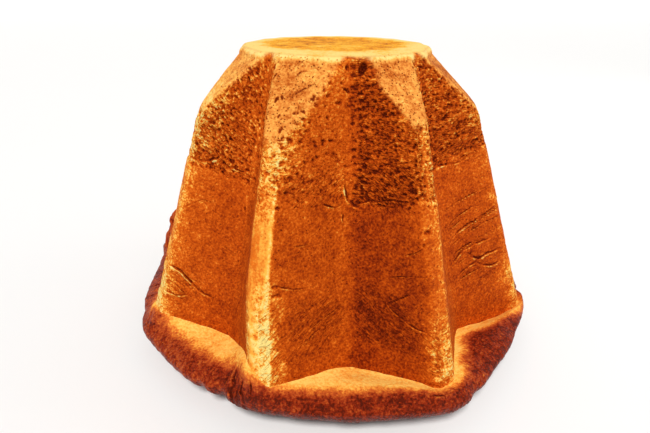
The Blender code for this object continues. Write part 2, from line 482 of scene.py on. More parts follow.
# %% Average over neighbours
def blurred(values, reach_rows, reach_columns):
    """Each value averaged with its neighbours in the grid, which closes on itself round the cake."""
    total = sum(np.roll(values, step, axis=1) for step in range(-reach_columns, reach_columns + 1))
    values = total / (2 * reach_columns + 1)
    padded = np.pad(values, ((reach_rows, reach_rows), (0, 0)), mode="edge")
    rows = len(values)
    return sum(padded[n:n + rows] for n in range(2 * reach_rows + 1)) / (2 * reach_rows + 1)


print("a lone 9 averages to", blurred(np.pad([[9.0]], 1), 1, 1)[1, 1])

# %% [markdown]
# ## The star's skin
#
# The star is the part of the cake that rose inside the tin. A cylinder's even columns would leave its
# valleys with few points, so the columns are spaced evenly along its outline instead. The rows are close
# where the pores are, and the skin ends a little way down inside the crust, where nobody sees its edge.

# %% Columns and rows of the star
RIM_ROUND = 0.0042
RIM_LEVEL = 1.0 - RIM_ROUND / STAR_HEIGHT
COLUMN_LEVEL = 0.55
OUTLINE_STEPS = 20000
COLUMNS_PER_QUARTER = 388
QUARTER_START = -math.pi / 4.0
TOP_ROWS = 12
RIM_ROWS = 8
OPEN_ROWS = 126
SMOOTH_ROWS = 98
OPEN_LEVEL = 0.50
FOOT_ROWS = 8
FOOT_DEPTH = 0.011
FOOT_SPREAD = 0.30
FOOT_LIMIT = 0.1135
POLE_SHARE = 0.002


def even_columns(count, level):
    """Directions that are evenly spaced along a quarter of the star's outline, for all four quarters."""
    fine = np.linspace(0.0, math.pi / 2.0, OUTLINE_STEPS + 1) + QUARTER_START
    reach = side(np.mod(fine, 2.0 * math.pi), np.full_like(fine, level))
    steps = np.hypot(np.diff(reach * np.sin(fine)), np.diff(reach * np.cos(fine)))
    length = np.concatenate(([0.0], np.cumsum(steps)))
    quarter = np.interp(np.linspace(0.0, length[-1], count + 1)[:-1], length, fine)
    return np.concatenate([quarter + n * math.pi / 2.0 for n in range(4)])


azimuths = even_columns(COLUMNS_PER_QUARTER, COLUMN_LEVEL)
side_levels = np.concatenate((
    np.linspace(RIM_LEVEL, OPEN_LEVEL, OPEN_ROWS, endpoint=False),
    np.linspace(OPEN_LEVEL, 0.0, SMOOTH_ROWS),
))[:, None]
side_reach = star(azimuths[None, :], side_levels)
rim_turn = np.linspace(0.0, math.pi / 2.0, RIM_ROWS + 1)[:-1, None]
rim_reach = side_reach[0] - RIM_ROUND * (1.0 - np.sin(rim_turn))
rim_height = STAR_HEIGHT - RIM_ROUND * (1.0 - np.cos(rim_turn))
top_turn = np.linspace(0.0, math.pi / 2.0, TOP_ROWS + 1)[:-1, None]
top_reach = (side_reach[0] - RIM_ROUND) * np.maximum(np.sin(top_turn), POLE_SHARE)
foot_depth = FOOT_DEPTH * np.linspace(0.0, 1.0, FOOT_ROWS + 1)[1:, None]
foot_reach = np.minimum(side_reach[-1] + FOOT_SPREAD * foot_depth, np.maximum(side_reach[-1], FOOT_LIMIT))
reach = np.concatenate((top_reach, rim_reach, side_reach, foot_reach))
height = np.concatenate((
    np.full((TOP_ROWS, 1), STAR_HEIGHT), rim_height, side_levels * STAR_HEIGHT, -foot_depth,
)) + 0.0 * reach
star_skin = Skin(azimuths, reach, height, -height)
print("the star's grid has", reach.shape[0], "rows and", reach.shape[1], "columns")

# %% [markdown]
# ## Where each kind of crumb lies
#
# A face is the flat between a ridge and a valley. The tin's upper half held the rising dough loosely, so
# there its bubbles stay open: a band of pores under the shoulders. Below it the skin is closed and smooth.
# The kinds of crumb could be painted on the mesh with a brush, but a painting can't be read. Each face has
# its own lower edge of the band, openness, direction of wrinkles and depth of colour, and these are the
# numbers that a baker would see, so they are written out.

# %% The sixteen faces
# From the front valley round by the right. Lower edge of the band at the face's valley and at its ridge,
# openness at both, tilt of its wrinkles in degrees, their depth in millimetres, and how brown the face is
# at its valley, in its middle and at its ridge.
FACES = np.array((
    (0.535, 0.570, 0.95, 0.95, 2.0, 0.20, 0.78, 0.76, 0.64),
    (0.585, 0.565, 0.70, 0.90, 6.0, 0.20, 0.56, 0.52, 0.50),
    (0.595, 0.655, 0.90, 0.85, 5.0, 0.20, 0.58, 0.61, 0.54),
    (0.600, 0.655, 0.60, 0.80, -12.0, 0.25, 0.68, 0.62, 0.58),
    (0.560, 0.600, 0.80, 1.00, -20.0, 0.30, 0.66, 0.60, 0.56),
    (0.540, 0.600, 0.65, 0.85, 10.0, 0.25, 0.72, 0.68, 0.62),
    (0.560, 0.620, 0.90, 0.80, 18.0, 0.30, 0.62, 0.62, 0.58),
    (0.580, 0.620, 0.55, 0.85, 0.0, 0.25, 0.70, 0.66, 0.60),
    (0.550, 0.590, 0.80, 0.95, -8.0, 0.30, 0.66, 0.62, 0.58),
    (0.570, 0.590, 0.40, 0.75, 14.0, 0.25, 0.60, 0.60, 0.56),
    (0.600, 0.640, 0.85, 1.00, -30.0, 0.30, 0.70, 0.66, 0.60),
    (0.560, 0.640, 0.60, 0.90, 5.0, 0.25, 0.66, 0.62, 0.56),
    (0.540, 0.640, 0.75, 0.80, 12.0, 0.25, 0.64, 0.62, 0.58),
    (0.560, 0.635, 0.45, 1.00, -42.0, 0.20, 0.65, 0.55, 0.42),
    (0.525, 0.580, 0.30, 0.50, -20.0, 0.20, 0.60, 0.58, 0.56),
    (0.560, 0.600, 0.05, 0.55, 0.0, 0.10, 0.61, 0.60, 0.61),
))
EDGE_AT_VALLEY, EDGE_AT_RIDGE, OPEN_AT_VALLEY, OPEN_AT_RIDGE, TILT, WRINKLE_MM = range(6)
BROWN_AT_VALLEY, BROWN_IN_MIDDLE, BROWN_AT_RIDGE = range(6, 9)
# The tilt of the fine creases near each face's foot, in degrees.
FOOT_TILT = np.array((
    -35.0, 10.0, 27.0, 20.0, -25.0, 15.0, 30.0, -20.0,
    20.0, -30.0, -30.0, 25.0, 0.0, -30.0, 0.0, 38.0,
))
FRONT_LEFT_FACE, RIGHT_FACE = 15, 2
FRONT_LEFT_RIDGE, LEFT_RIDGE = 7, 6
print("brownest face:", int(FACES[:, BROWN_IN_MIDDLE].argmax()))

# %% Where each point is on its face
face_of_column = np.floor(np.mod(azimuths, 2.0 * math.pi) / HALF_SECTOR).astype(int) % len(FACES)
ridge_of_column = face_of_column // 2
level_here = height / STAR_HEIGHT
azimuth_here = azimuths[None, :] + 0.0 * reach
turn_here = np.mod(azimuth_here, SECTOR) - HALF_SECTOR
ridge_line_reach = side(np.full_like(reach, HALF_SECTOR), level_here)
from_ridge_line = np.hypot(reach * np.cos(turn_here) - ridge_line_reach, reach * np.sin(turn_here))
rightward = np.sign(turn_here) * from_ridge_line
face_width = np.maximum(from_ridge_line[:, :COLUMNS_PER_QUARTER].max(axis=1), 0.004)[:, None]
ridge_share = np.clip(1.0 - from_ridge_line / face_width, 0.0, 1.0)
print("a face is up to", round(1000 * float(face_width.max()), 1), "mm wide")

# %% Ragged edges
RAGGED_SIZE = 0.008

ragged = rough_noise(star_skin.points, RAGGED_SIZE, 11, 3)


def uneven(value, amount, start, end):
    """A smooth climb whose edge wanders by some amount, because no edge in dough is straight."""
    return ease(value + amount * ragged, start, end)


print("edges wander by up to", round(float(np.abs(ragged).max()), 2), "of what they are given")


# %% Numbers blended over a face
def by_face(first, second):
    """A face's number at each point, blended from its value at the valley to that at the ridge."""
    at_valley = FACES[face_of_column, first]
    return at_valley + (FACES[face_of_column, second] - at_valley) * ridge_share


band_edge = by_face(EDGE_AT_VALLEY, EDGE_AT_RIDGE)
print("the band's edge is lowest at level", round(float(band_edge.min()), 2))

# %% Facets, band and flat top
BAND_EDGE_RAGGED = 0.016
BAND_FADE_BELOW, BAND_FADE_ABOVE = 0.006, 0.008
FACET_EDGE, FACET_RAGGED = (-0.0026, 0.0022), 0.0009
CLOSED_BESIDE_VALLEY, CLOSED_RIGHT_OF_FRONT = 0.0004, 0.0032


def smooth_beside_valley(face, level):
    """The width of the closed skin beside a valley, which is widest right of the front one."""
    wide = CLOSED_RIGHT_OF_FRONT * (face == 0) * ease(level, 0.54, 0.64) * ease(level, 1.0, 0.84)
    return CLOSED_BESIDE_VALLEY + wide


points = star_skin.points
band_edge = band_edge + BAND_EDGE_RAGGED * ragged
from_valley_line = face_width - from_ridge_line
calm_width = smooth_beside_valley(face_of_column[None, :], level_here)
openness = by_face(OPEN_AT_VALLEY, OPEN_AT_RIDGE) * ease(from_valley_line - calm_width, -0.0008, 0.0014)
over_shoulder = side(azimuth_here, level_here) - shoulder(azimuth_here, level_here)
wider = 0.0014 * (face_of_column == FRONT_LEFT_FACE) * ease(ridge_share, 0.1, 0.4)
flat_top = ease(height, STAR_HEIGHT - 0.0010, STAR_HEIGHT - 0.0001)
facet = uneven(over_shoulder + wider, FACET_RAGGED, *FACET_EDGE) * (1.0 - flat_top)
print("share of the skin on facets:", round(float(facet.mean()), 3))

# %% A loose corner and a pale rim with a painted highlight
# Over the front valley a piece of the facets' skin stayed in the tin, and open crumb shows.
LOOSE_DEGREES, LOOSE_HEIGHT = 6.5, 0.1285
LOOSE_HALF_WIDTH, LOOSE_HALF_HEIGHT = 0.0062, 0.0075
# The pale rim, partly the crumb's own paler edge and partly a painted highlight on its rounding, fades
# out down the side, and inward over the flat top, where it is wider behind.
RIM_DOWN_SIDE, RIM_ON_TOP, RIM_RAGGED = (0.0044, 0.0010), (0.0062, 0.0018), 0.0006
RIM_MIDDLE, RIM_WIDER_BEHIND = 0.52, 0.22
LEFT_FACET_PALE = 0.30

sideways = np.radians(degrees_from(azimuth_here, LOOSE_DEGREES)) * reach / LOOSE_HALF_WIDTH
loose = np.hypot(sideways, (height - LOOSE_HEIGHT) / LOOSE_HALF_HEIGHT)
facet = facet * (1.0 - uneven(loose, 0.25, 1.25, 0.65))
to_rim = np.maximum(side_reach[0] - RIM_ROUND - reach, 0.0) * (height > STAR_HEIGHT - 1e-6)
rim = uneven(STAR_HEIGHT - height, RIM_RAGGED, *RIM_DOWN_SIDE)
narrowing = RIM_MIDDLE - RIM_WIDER_BEHIND * np.cos(azimuth_here)
rim = rim * uneven(narrowing * to_rim, RIM_RAGGED, *RIM_ON_TOP)
rim = np.maximum(rim, LEFT_FACET_PALE * facet * (ridge_of_column == LEFT_RIDGE))
band = ease(level_here, band_edge - BAND_FADE_BELOW, band_edge + BAND_FADE_ABOVE)
band = band * (1.0 - facet) * (1.0 - flat_top)
print("share of the skin with open pores:", round(float(band.mean()), 3))

# %% The blunt flat along each ridge
FLAT_INSET = 0.00035

flat_gap = reach - (ridge_line_reach - FLAT_INSET) / np.cos(turn_here)
ridge_flat = uneven(flat_gap, 0.0002, -0.0014, -0.0002)
ridge_edge = np.exp(-((flat_gap + 0.0006) / 0.0008) ** 2) * (1.0 - facet)
on_left_front_ridge = ridge_of_column == FRONT_LEFT_RIDGE
gold_from = 0.30 + 0.12 * on_left_front_ridge
low_on_ridge = uneven(level_here, 0.05, gold_from, gold_from - 0.26)
low_on_ridge = low_on_ridge * uneven(from_ridge_line, 0.004, 0.014, 0.005)
print("share of the skin on blunt ridges:", round(float(ridge_flat.mean()), 3))

# %% [markdown]
# ## Pores
#
# Each pore is a bubble that burst against the tin: a small pit, rarely round. They could be a texture that
# only bends the light, but then they would be gone from the cake's outline and from its exported shape,
# so they are pressed into the skin. All are drawn at random from one seed. The larger holes that the eye
# finds first are named one by one.

# %% Places on a face
DICE_SEED = 1894

dice = np.random.default_rng(DICE_SEED)


def on_face(face, share):
    """The direction, in degrees, some share of the way from a face's valley to its ridge."""
    start = math.degrees(HALF_SECTOR)
    return start * (face + 1.0 - share) if face % 2 else start * (face + share)


def on_shoulder(degrees, level):
    """How far inside the sloping facet the star's side would be here: more than 0 on the facet."""
    azimuth = math.radians(degrees)
    return float(side(azimuth, level) - shoulder(azimuth, level))


print("the middle of the first face is at", on_face(0, 0.5), "degrees")

# %% Draw the pores of the bands
PORES_PER_FACE = 1700
SMALLEST_PORE, PORE_RANGE = 0.00036, 0.00050
LEAN_SPREAD_DEGREES = 60.0
HIGHEST_PORE_LEVEL = 0.985
BELOW_THE_EDGE = 0.012
SHOULDER_OVERLAP = 0.0010
# Beside the front left ridge hardly any bubble burst.
QUIET_FACES, QUIET_FROM_SHARE, QUIET_KEEP = (14, 15), 0.86, 0.12

pressed = 0
for face, numbers in enumerate(FACES):
    for _ in range(PORES_PER_FACE):
        share, keep, tall, big, flat, spin = dice.random(6)
        phases = dice.random(2) * 2.0 * math.pi
        open_here = numbers[OPEN_AT_VALLEY] + (numbers[OPEN_AT_RIDGE] - numbers[OPEN_AT_VALLEY]) * share
        edge = numbers[EDGE_AT_VALLEY] + (numbers[EDGE_AT_RIDGE] - numbers[EDGE_AT_VALLEY]) * share
        level = edge - BELOW_THE_EDGE + (HIGHEST_PORE_LEVEL - edge) * tall
        degrees = on_face(face, share)
        closed = keep > open_here * (0.55 + 0.45 * tall)
        quiet = face in QUIET_FACES and share > QUIET_FROM_SHARE and keep > QUIET_KEEP
        in_valley = share * float(face_width.max()) < smooth_beside_valley(face, level)
        if closed or quiet or in_valley or on_shoulder(degrees, level) > SHOULDER_OVERLAP:
            continue
        radius = SMALLEST_PORE + PORE_RANGE * big**3
        lean = numbers[TILT] + LEAN_SPREAD_DEGREES * (spin - 0.5)
        pit(star_skin, degrees, -level * STAR_HEIGHT, radius, radius * (0.7 + 0.6 * big),
            1.0 + 1.1 * flat, lean, phases)
        pressed += 1
print("pores pressed:", pressed)

# %% Patches of extra pores
# Direction, millimetres above the shelf, half width, half height, how many, radius in mm and lean.
PORE_PATCHES = (
    (-9.5, 81.0, 13.0, 9.5, 330, 0.42, 10.0),
    (7.0, 128.0, 7.0, 6.0, 50, 0.55, 0.0),
    (-20.5, 98.0, 5.0, 18.0, 60, 0.66, 40.0),
    (6.0, 117.0, 9.0, 12.0, 60, 0.62, 0.0),
    (11.0, 100.0, 12.0, 14.0, 60, 0.55, 0.0),
    (21.0, 92.0, 5.0, 18.0, 40, 0.62, 5.0),
    (52.0, 112.0, 8.0, 14.0, 45, 0.62, 10.0),
    (-50.0, 116.0, 9.0, 13.0, 60, 0.56, -30.0),
    (-61.0, 95.0, 9.0, 11.0, 70, 0.50, -42.0),
    (-46.0, 88.0, 5.0, 14.0, 60, 0.42, -20.0),
    (-16.0, 128.0, 9.0, 5.0, 14, 0.40, 0.0),
    (8.0, 16.0, 16.0, 13.0, 60, 0.34, -35.0),
    (-21.0, 14.0, 6.0, 14.0, 44, 0.40, 0.0),
    (20.0, 12.0, 6.0, 12.0, 50, 0.42, 0.0),
    (-65.0, 16.0, 8.0, 14.0, 40, 0.38, 0.0),
)
MM_PER_DEGREE = 1.35
WOBBLE_TURN = 6.3

for middle, up_mm, half_width, half_height, count, radius_mm, lean in PORE_PATCHES:
    centre = untwisted(middle, up_mm)
    for _ in range(count):
        turn, out, big, flat, spin = dice.random(5)
        turn, out = 2.0 * math.pi * turn, math.sqrt(out)
        degrees = centre + half_width / MM_PER_DEGREE * out * math.cos(turn)
        radius = radius_mm / 1000.0 * (0.6 + 0.7 * big**2)
        pit(star_skin, degrees, -(up_mm + half_height * out * math.sin(turn)) / 1000.0, radius,
            radius * (0.6 + 0.5 * big), 1.0 + flat, lean + LEAN_SPREAD_DEGREES * (spin - 0.5),
            (WOBBLE_TURN * spin, WOBBLE_TURN * flat))
print("pores in patches:", sum(patch[4] for patch in PORE_PATCHES))

# %% Pinholes in the facets
PINHOLES_PER_FACET = 60
PINHOLE_SPREAD_DEGREES = 40.0
LOWEST_PINHOLE, PINHOLE_RISE = 0.82, 0.16
SMALLEST_PINHOLE, PINHOLE_RANGE = 0.00030, 0.00020

for ridge in range(POINTS):
    for _ in range(PINHOLES_PER_FACET):
        aside, tall, big = dice.random(3)
        degrees = 45.0 * ridge + 22.5 + PINHOLE_SPREAD_DEGREES * (aside - 0.5)
        level = LOWEST_PINHOLE + PINHOLE_RISE * tall
        if on_shoulder(degrees, level) > 0.0:
            radius = SMALLEST_PINHOLE + PINHOLE_RANGE * big**3
            pit(star_skin, degrees, -level * STAR_HEIGHT, radius, 1.1 * radius, 1.0, 0.0,
                (WOBBLE_TURN * big, 1.0))
print("pinholes drawn:", POINTS * PINHOLES_PER_FACET)

# %% Holes that the eye finds first
# Direction in degrees, millimetres above the shelf, radius and depth in millimetres, stretch, lean.
NAMED_HOLES = (
    (6.2, 129.6, 2.6, 3.0, 1.15, 60.0),
    (-0.6, 129.6, 1.0, 1.2, 1.2, 90.0),
    (2.7, 122.3, 1.2, 1.4, 1.4, 20.0),
    (4.8, 119.5, 1.1, 1.3, 1.1, 0.0),
    (-1.1, 120.6, 1.0, 1.1, 1.8, -35.0),
    (11.4, 123.4, 0.8, 0.8, 1.6, -10.0),
    (12.6, 122.0, 1.1, 1.2, 1.2, 60.0),
    (12.9, 118.3, 1.2, 1.3, 1.7, 15.0),
    (18.3, 128.6, 0.6, 0.8, 1.0, 0.0),
    (18.5, 116.6, 0.8, 0.8, 1.7, 0.0),
    (12.6, 112.0, 1.1, 1.2, 1.2, 45.0),
    (4.8, 109.8, 0.9, 1.0, 1.3, 0.0),
    (10.0, 103.7, 1.0, 1.2, 1.4, 30.0),
    (19.8, 101.2, 1.1, 1.4, 1.3, 30.0),
    (20.7, 105.3, 0.8, 0.9, 1.3, 60.0),
    (22.0, 94.6, 0.9, 1.1, 1.3, 30.0),
    (22.0, 88.0, 0.8, 1.0, 1.6, 0.0),
    (18.5, 81.3, 1.0, 1.2, 1.6, -20.0),
    (20.6, 81.0, 0.9, 1.1, 1.6, 0.0),
    (16.7, 91.0, 0.7, 0.8, 1.8, -20.0),
    (13.5, 92.4, 0.6, 0.7, 2.0, 10.0),
    (6.3, 92.3, 0.9, 1.0, 1.3, 0.0),
    (-4.8, 91.6, 1.5, 0.6, 1.0, 0.0),
    (21.0, 65.4, 1.2, 1.5, 1.5, 0.0),
    (19.6, 59.5, 0.7, 0.8, 1.2, 40.0),
    (-36.0, 126.0, 0.8, 1.2, 2.0, 80.0),
    (-30.3, 117.8, 0.8, 1.2, 2.0, 75.0),
    (-28.4, 118.6, 0.7, 0.9, 1.8, 110.0),
    (-27.0, 112.0, 0.7, 0.8, 1.4, 60.0),
    (-24.9, 107.3, 1.1, 1.3, 1.4, 70.0),
    (-21.1, 103.5, 1.2, 1.3, 1.3, -20.0),
    (-23.4, 101.9, 0.8, 1.0, 1.4, 80.0),
    (-22.6, 94.6, 1.0, 1.1, 1.5, 10.0),
    (-23.6, 88.6, 0.8, 1.0, 1.8, 80.0),
    (-19.4, 92.0, 0.9, 1.1, 1.2, 0.0),
    (-20.4, 88.0, 0.9, 1.0, 1.7, 10.0),
    (-18.4, 89.0, 0.8, 1.0, 1.2, 0.0),
    (-17.8, 111.0, 0.9, 1.1, 1.3, 0.0),
    (-18.4, 114.0, 0.9, 1.1, 1.3, -20.0),
    (-15.0, 119.0, 0.8, 0.9, 1.3, 70.0),
    (-22.8, 76.4, 1.0, 1.1, 1.3, 10.0),
    (-46.2, 63.0, 0.7, 0.9, 1.6, 90.0),
    (-21.9, 42.9, 0.8, 1.0, 2.2, 5.0),
    (-21.5, 38.9, 0.9, 1.1, 2.6, -3.0),
    (-54.0, 127.3, 1.0, 1.1, 1.5, -30.0),
    (-57.3, 118.3, 0.9, 1.0, 1.3, 0.0),
    (-58.6, 107.0, 1.0, 1.1, 1.4, -10.0),
    (-60.1, 99.1, 0.9, 1.1, 1.5, -40.0),
    (-57.2, 89.8, 1.0, 1.2, 1.9, -45.0),
    (-47.7, 90.5, 0.9, 1.0, 1.5, -10.0),
    (-47.1, 93.5, 0.7, 0.8, 1.2, 0.0),
    (-43.4, 77.8, 0.8, 1.0, 1.4, -30.0),
    (-63.8, 93.4, 0.8, 0.9, 1.8, -40.0),
    (51.5, 129.6, 0.9, 1.0, 1.2, 60.0),
    (52.5, 127.6, 1.0, 1.2, 1.4, -40.0),
    (52.8, 121.7, 0.9, 1.0, 1.4, 10.0),
    (56.2, 117.6, 0.7, 0.8, 1.6, 0.0),
    (57.4, 114.5, 1.2, 1.3, 1.4, 40.0),
    (54.7, 104.1, 1.2, 1.3, 1.9, 30.0),
    (63.4, 91.7, 0.8, 1.1, 1.2, 0.0),
)
for degrees, up_mm, radius_mm, depth_mm, stretch, lean in NAMED_HOLES:
    pit(star_skin, untwisted(degrees, up_mm), -up_mm / 1000.0, radius_mm / 1000.0, depth_mm / 1000.0,
        stretch, lean)
print("named holes:", len(NAMED_HOLES))

# %% [markdown]
# ## Creases
#
# While it cooled, the cake sank a little and its skin crept down the tin, so the lower faces carry fine
# creases, given painted shade in their middles, each with a raised lip on its lower side that is painted pale
# as a highlight. A sculpting brush could draw them by hand. Here a crease is a row of overlapping pits along
# a path, which the pits' own code can press, and the path is a short list of spots that is easy to move.

# %% Press the creases
# Width, depth and lip in tenths of a millimetre, then the path: degrees and millimetres above the shelf.
CREASES = (
    (12, 22, 6, ((-118.0, 21.0), (-111.0, 24.0), (-104.0, 21.5), (-98.0, 24.0))),
    (9, 15, 6, ((-120.0, 12.0), (-110.0, 14.5), (-101.0, 11.0))),
    (8, 14, 5, ((-114.0, 31.0), (-109.0, 29.0), (-104.0, 31.5))),
    (5, 8, 5, ((-68.0, 32.5), (-63.9, 30.5), (-61.7, 28.0), (-59.0, 22.5), (-56.1, 17.7), (-52.6, 15.7))),
    (4, 5, 4, ((-66.0, 25.0), (-62.3, 20.6), (-59.6, 15.7), (-58.0, 14.5))),
    (4, 4, 3, ((-65.0, 17.0), (-61.0, 14.5), (-58.5, 16.0))),
    (3, 3, 1, ((-51.5, 42.5), (-48.5, 40.5), (-46.8, 40.0))),
    (3, 2, 1, ((-63.0, 62.0), (-60.0, 66.0), (-56.5, 65.0))),
    (6, 9, 4, ((-65.5, 87.0), (-63.5, 86.0), (-61.0, 84.5), (-59.0, 85.0), (-57.5, 88.0))),
    (5, 6, 2, ((-57.5, 84.5), (-54.0, 82.0), (-49.0, 80.5), (-45.0, 78.0))),
    (4, 4, 2, ((48.5, 49.5), (52.5, 53.5), (55.6, 55.8), (60.7, 59.4))),
    (5, 7, 5, ((49.5, 43.0), (54.0, 47.0), (58.0, 50.0), (63.6, 54.5), (66.0, 57.0))),
    (4, 5, 4, ((55.0, 46.0), (60.0, 50.0), (65.5, 55.0))),
    (4, 5, 3, ((48.0, 33.0), (52.0, 36.0), (57.0, 39.0), (61.0, 42.0), (66.0, 45.2))),
    (5, 6, 5, ((46.8, 28.5), (50.0, 31.5), (53.4, 35.4), (58.0, 37.5), (62.2, 39.0))),
    (6, 9, 3, ((54.0, 33.0), (56.0, 29.5), (57.8, 28.5), (60.0, 30.5), (63.7, 31.5))),
    (5, 8, 5, ((56.8, 27.0), (58.5, 24.0), (61.0, 23.0), (64.1, 25.0))),
    (4, 5, 4, ((50.0, 22.0), (54.0, 25.5), (58.0, 27.0))),
    (3, 3, 4, ((49.0, 39.0), (54.0, 43.0), (60.0, 47.5), (66.0, 51.0))),
    (3, 3, 3, ((48.0, 18.0), (53.0, 21.0), (59.0, 24.0))),
    (3, 3, 4, ((47.0, 57.0), (52.0, 60.5), (58.0, 64.0), (64.0, 67.5))),
    (3, 3, 4, ((50.0, 28.0), (54.0, 31.0), (57.0, 33.5))),
    (3, 3, 3, ((47.5, 47.0), (51.0, 49.0), (54.0, 51.5))),
    (5, 8, 3, ((46.0, 80.2), (50.0, 81.0), (54.0, 81.2), (57.5, 82.0), (60.0, 84.5))),
    (5, 7, 2, ((0.5, 71.5), (3.0, 72.6), (8.0, 74.5), (13.0, 76.3), (17.5, 77.0))),
    (5, 9, 3, ((9.6, 27.0), (10.6, 29.1), (13.5, 33.1), (16.0, 36.5), (17.5, 37.5))),
    (4, 6, 5, ((10.6, 28.5), (12.8, 25.7), (14.2, 24.0), (15.5, 21.8), (17.3, 21.0), (19.4, 20.5))),
    (3, 3, 1, ((11.5, 42.0), (14.0, 43.5), (17.0, 45.0), (19.5, 45.5))),
    (6, 8, 4, ((-1.8, 81.5), (-1.4, 77.5), (-0.8, 74.0), (0.6, 71.6), (2.6, 70.6), (4.4, 70.2))),
    (6, 8, 2, ((-10.0, 74.0), (-7.0, 72.4), (-4.6, 72.0), (-3.2, 73.0))),
    (5, 6, 2, ((-2.9, 69.5), (-2.7, 66.5), (-2.6, 64.5))),
    (3, 3, 2, ((15.0, 53.0), (18.0, 56.0), (19.5, 58.5))),
    (4, 5, 2, ((-21.5, 42.6), (-19.5, 41.0), (-16.8, 39.3), (-15.0, 39.0))),
    (3, 3, 3, ((-13.0, 19.5), (-8.8, 22.9), (-4.0, 25.4))),
    (3, 3, 3, ((-15.4, 13.9), (-10.2, 18.0), (-5.0, 22.0))),
    (3, 2, 1, ((-19.0, 59.0), (-16.0, 58.0), (-13.0, 58.5))),
    (4, 3, 1, ((-27.5, 130.0), (-24.5, 132.4), (-21.5, 131.8), (-18.0, 130.6), (-15.0, 128.6))),
    (4, 3, 1, ((-23.0, 119.5), (-20.5, 121.9), (-16.4, 123.8), (-14.0, 126.0))),
    (4, 3, 1, ((-26.0, 125.5), (-23.5, 128.0), (-20.0, 128.5))),
)
RANDOM_CREASES_PER_FACE = 4
FIRST_HIDDEN_FACE, LAST_HIDDEN_FACE = 3, 12
HALF_LENGTH_DEGREES, LENGTH_RANGE_DEGREES = 2.0, 5.0
METRES_PER_DEGREE = 0.0015
CREASE_TILT_SPREAD = 40.0
LOWEST_CREASE, CREASE_RISE = 0.06, 0.40

for width, depth, lip, path in CREASES:
    groove(star_skin, [(untwisted(degrees, up_mm), -up_mm / 1000.0) for degrees, up_mm in path],
           width / 1e4, depth / 1e4, lip / 1e4)
for face in range(FIRST_HIDDEN_FACE, LAST_HIDDEN_FACE + 1):
    for _ in range(RANDOM_CREASES_PER_FACE):
        share, level, length, spin, deep = dice.random(5)
        middle = on_face(face, 0.2 + 0.6 * share)
        half = HALF_LENGTH_DEGREES + LENGTH_RANGE_DEGREES * length
        slope = math.tan(math.radians(FACES[face, TILT] + CREASE_TILT_SPREAD * (spin - 0.5)))
        climb = half * METRES_PER_DEGREE * slope
        middle_height = STAR_HEIGHT * (LOWEST_CREASE + CREASE_RISE * level)
        path = [(middle + half * t, -middle_height - climb * t) for t in (-1.0, 0.0, 1.0)]
        groove(star_skin, path, 0.0004 + 0.0002 * deep, 0.0003 + 0.0004 * deep, 0.0002 + 0.0003 * deep,
               0.5, 0.6)
hidden_faces = LAST_HIDDEN_FACE + 1 - FIRST_HIDDEN_FACE
print("creases pressed:", len(CREASES) + hidden_faces * RANDOM_CREASES_PER_FACE)

# %% [markdown]
# ## Relief, browning and painted light
#
# What is left is wider than a crease: faces that aren't quite flat, wrinkles, and the step at the band's
# lower edge. A displacement modifier could push the points out, but its textures know nothing of faces and
# ridges, so each point is moved along its own outward direction by a sum that does. The same relief then
# paints light into the crumb's colour: what lies deeper than its surroundings is given painted shade, and
# what stands proud is given a painted highlight.

# %% Wrinkles
tilt = np.radians(FACES[face_of_column, TILT])
# Direction in degrees, millimetres above the shelf, half width and half height in millimetres, tilt, depth.
WRINKLE_PATCHES = (
    (9.0, 20.0, 17.0, 16.0, -35.0, 0.26),
    (22.0, 12.0, 7.0, 12.0, -20.0, 0.34),
    (-20.0, 20.0, 7.0, 18.0, 10.0, 0.34),
    (11.0, 82.0, 15.0, 10.0, 2.0, 0.34),
    (-9.0, 80.0, 12.0, 8.0, 0.0, 0.20),
    (-10.0, 20.0, 14.0, 15.0, 40.0, 0.24),
    (59.0, 93.0, 11.0, 11.0, 9.0, 0.34),
    (58.0, 22.0, 14.0, 12.0, 25.0, 0.18),
    (-60.0, 96.0, 12.0, 13.0, -42.0, 0.36),
    (-62.0, 20.0, 12.0, 12.0, -30.0, 0.28),
    (110.0, 25.0, 16.0, 14.0, -25.0, 0.26),
    (160.0, 30.0, 16.0, 18.0, 20.0, 0.24),
    (215.0, 22.0, 18.0, 15.0, -30.0, 0.28),
)
FULL_WRINKLE_MM = 0.34
WRINKLE_STRETCH = 0.22


def wrinkles(lean, size, seed):
    """Creases that run along a leaning direction of the face, from 0 to 1."""
    along = rightward * np.cos(lean) + height * np.sin(lean)
    aside = height * np.cos(lean) - rightward * np.sin(lean)
    bent = aside + 0.0012 * ragged
    place_on_face = np.stack((WRINKLE_STRETCH * along, bent, 0.05 * face_of_column + 0.0 * reach), axis=-1)
    return folds(place_on_face, size, seed) ** 3


band_wrinkles = np.maximum(wrinkles(tilt, 0.0021, 31), 0.6 * wrinkles(tilt, 0.0012, 32))
wrinkle = FACES[face_of_column, WRINKLE_MM] / 1000.0 * band_wrinkles * band * (0.35 + 0.65 * openness)
wrinkled = np.zeros_like(reach)
for degrees, up_mm, half_width, half_height, lean, depth_mm in WRINKLE_PATCHES:
    sideways = np.radians(degrees_from(azimuths, degrees)) * reach / (half_width / 1000.0)
    upright = (height - up_mm / 1000.0) / (half_height / 1000.0)
    here = ease(np.hypot(sideways, upright) + 0.3 * ragged, 1.15, 0.5)
    wrinkle += depth_mm / 1000.0 * here * wrinkles(math.radians(lean), 0.0024, 33)
    wrinkled = np.maximum(wrinkled, here * depth_mm / FULL_WRINKLE_MM)
print("deepest wrinkle:", round(1000 * float(wrinkle.max()), 2), "mm")

# %% Sum the relief and move the skin
MARGIN = 0.0004
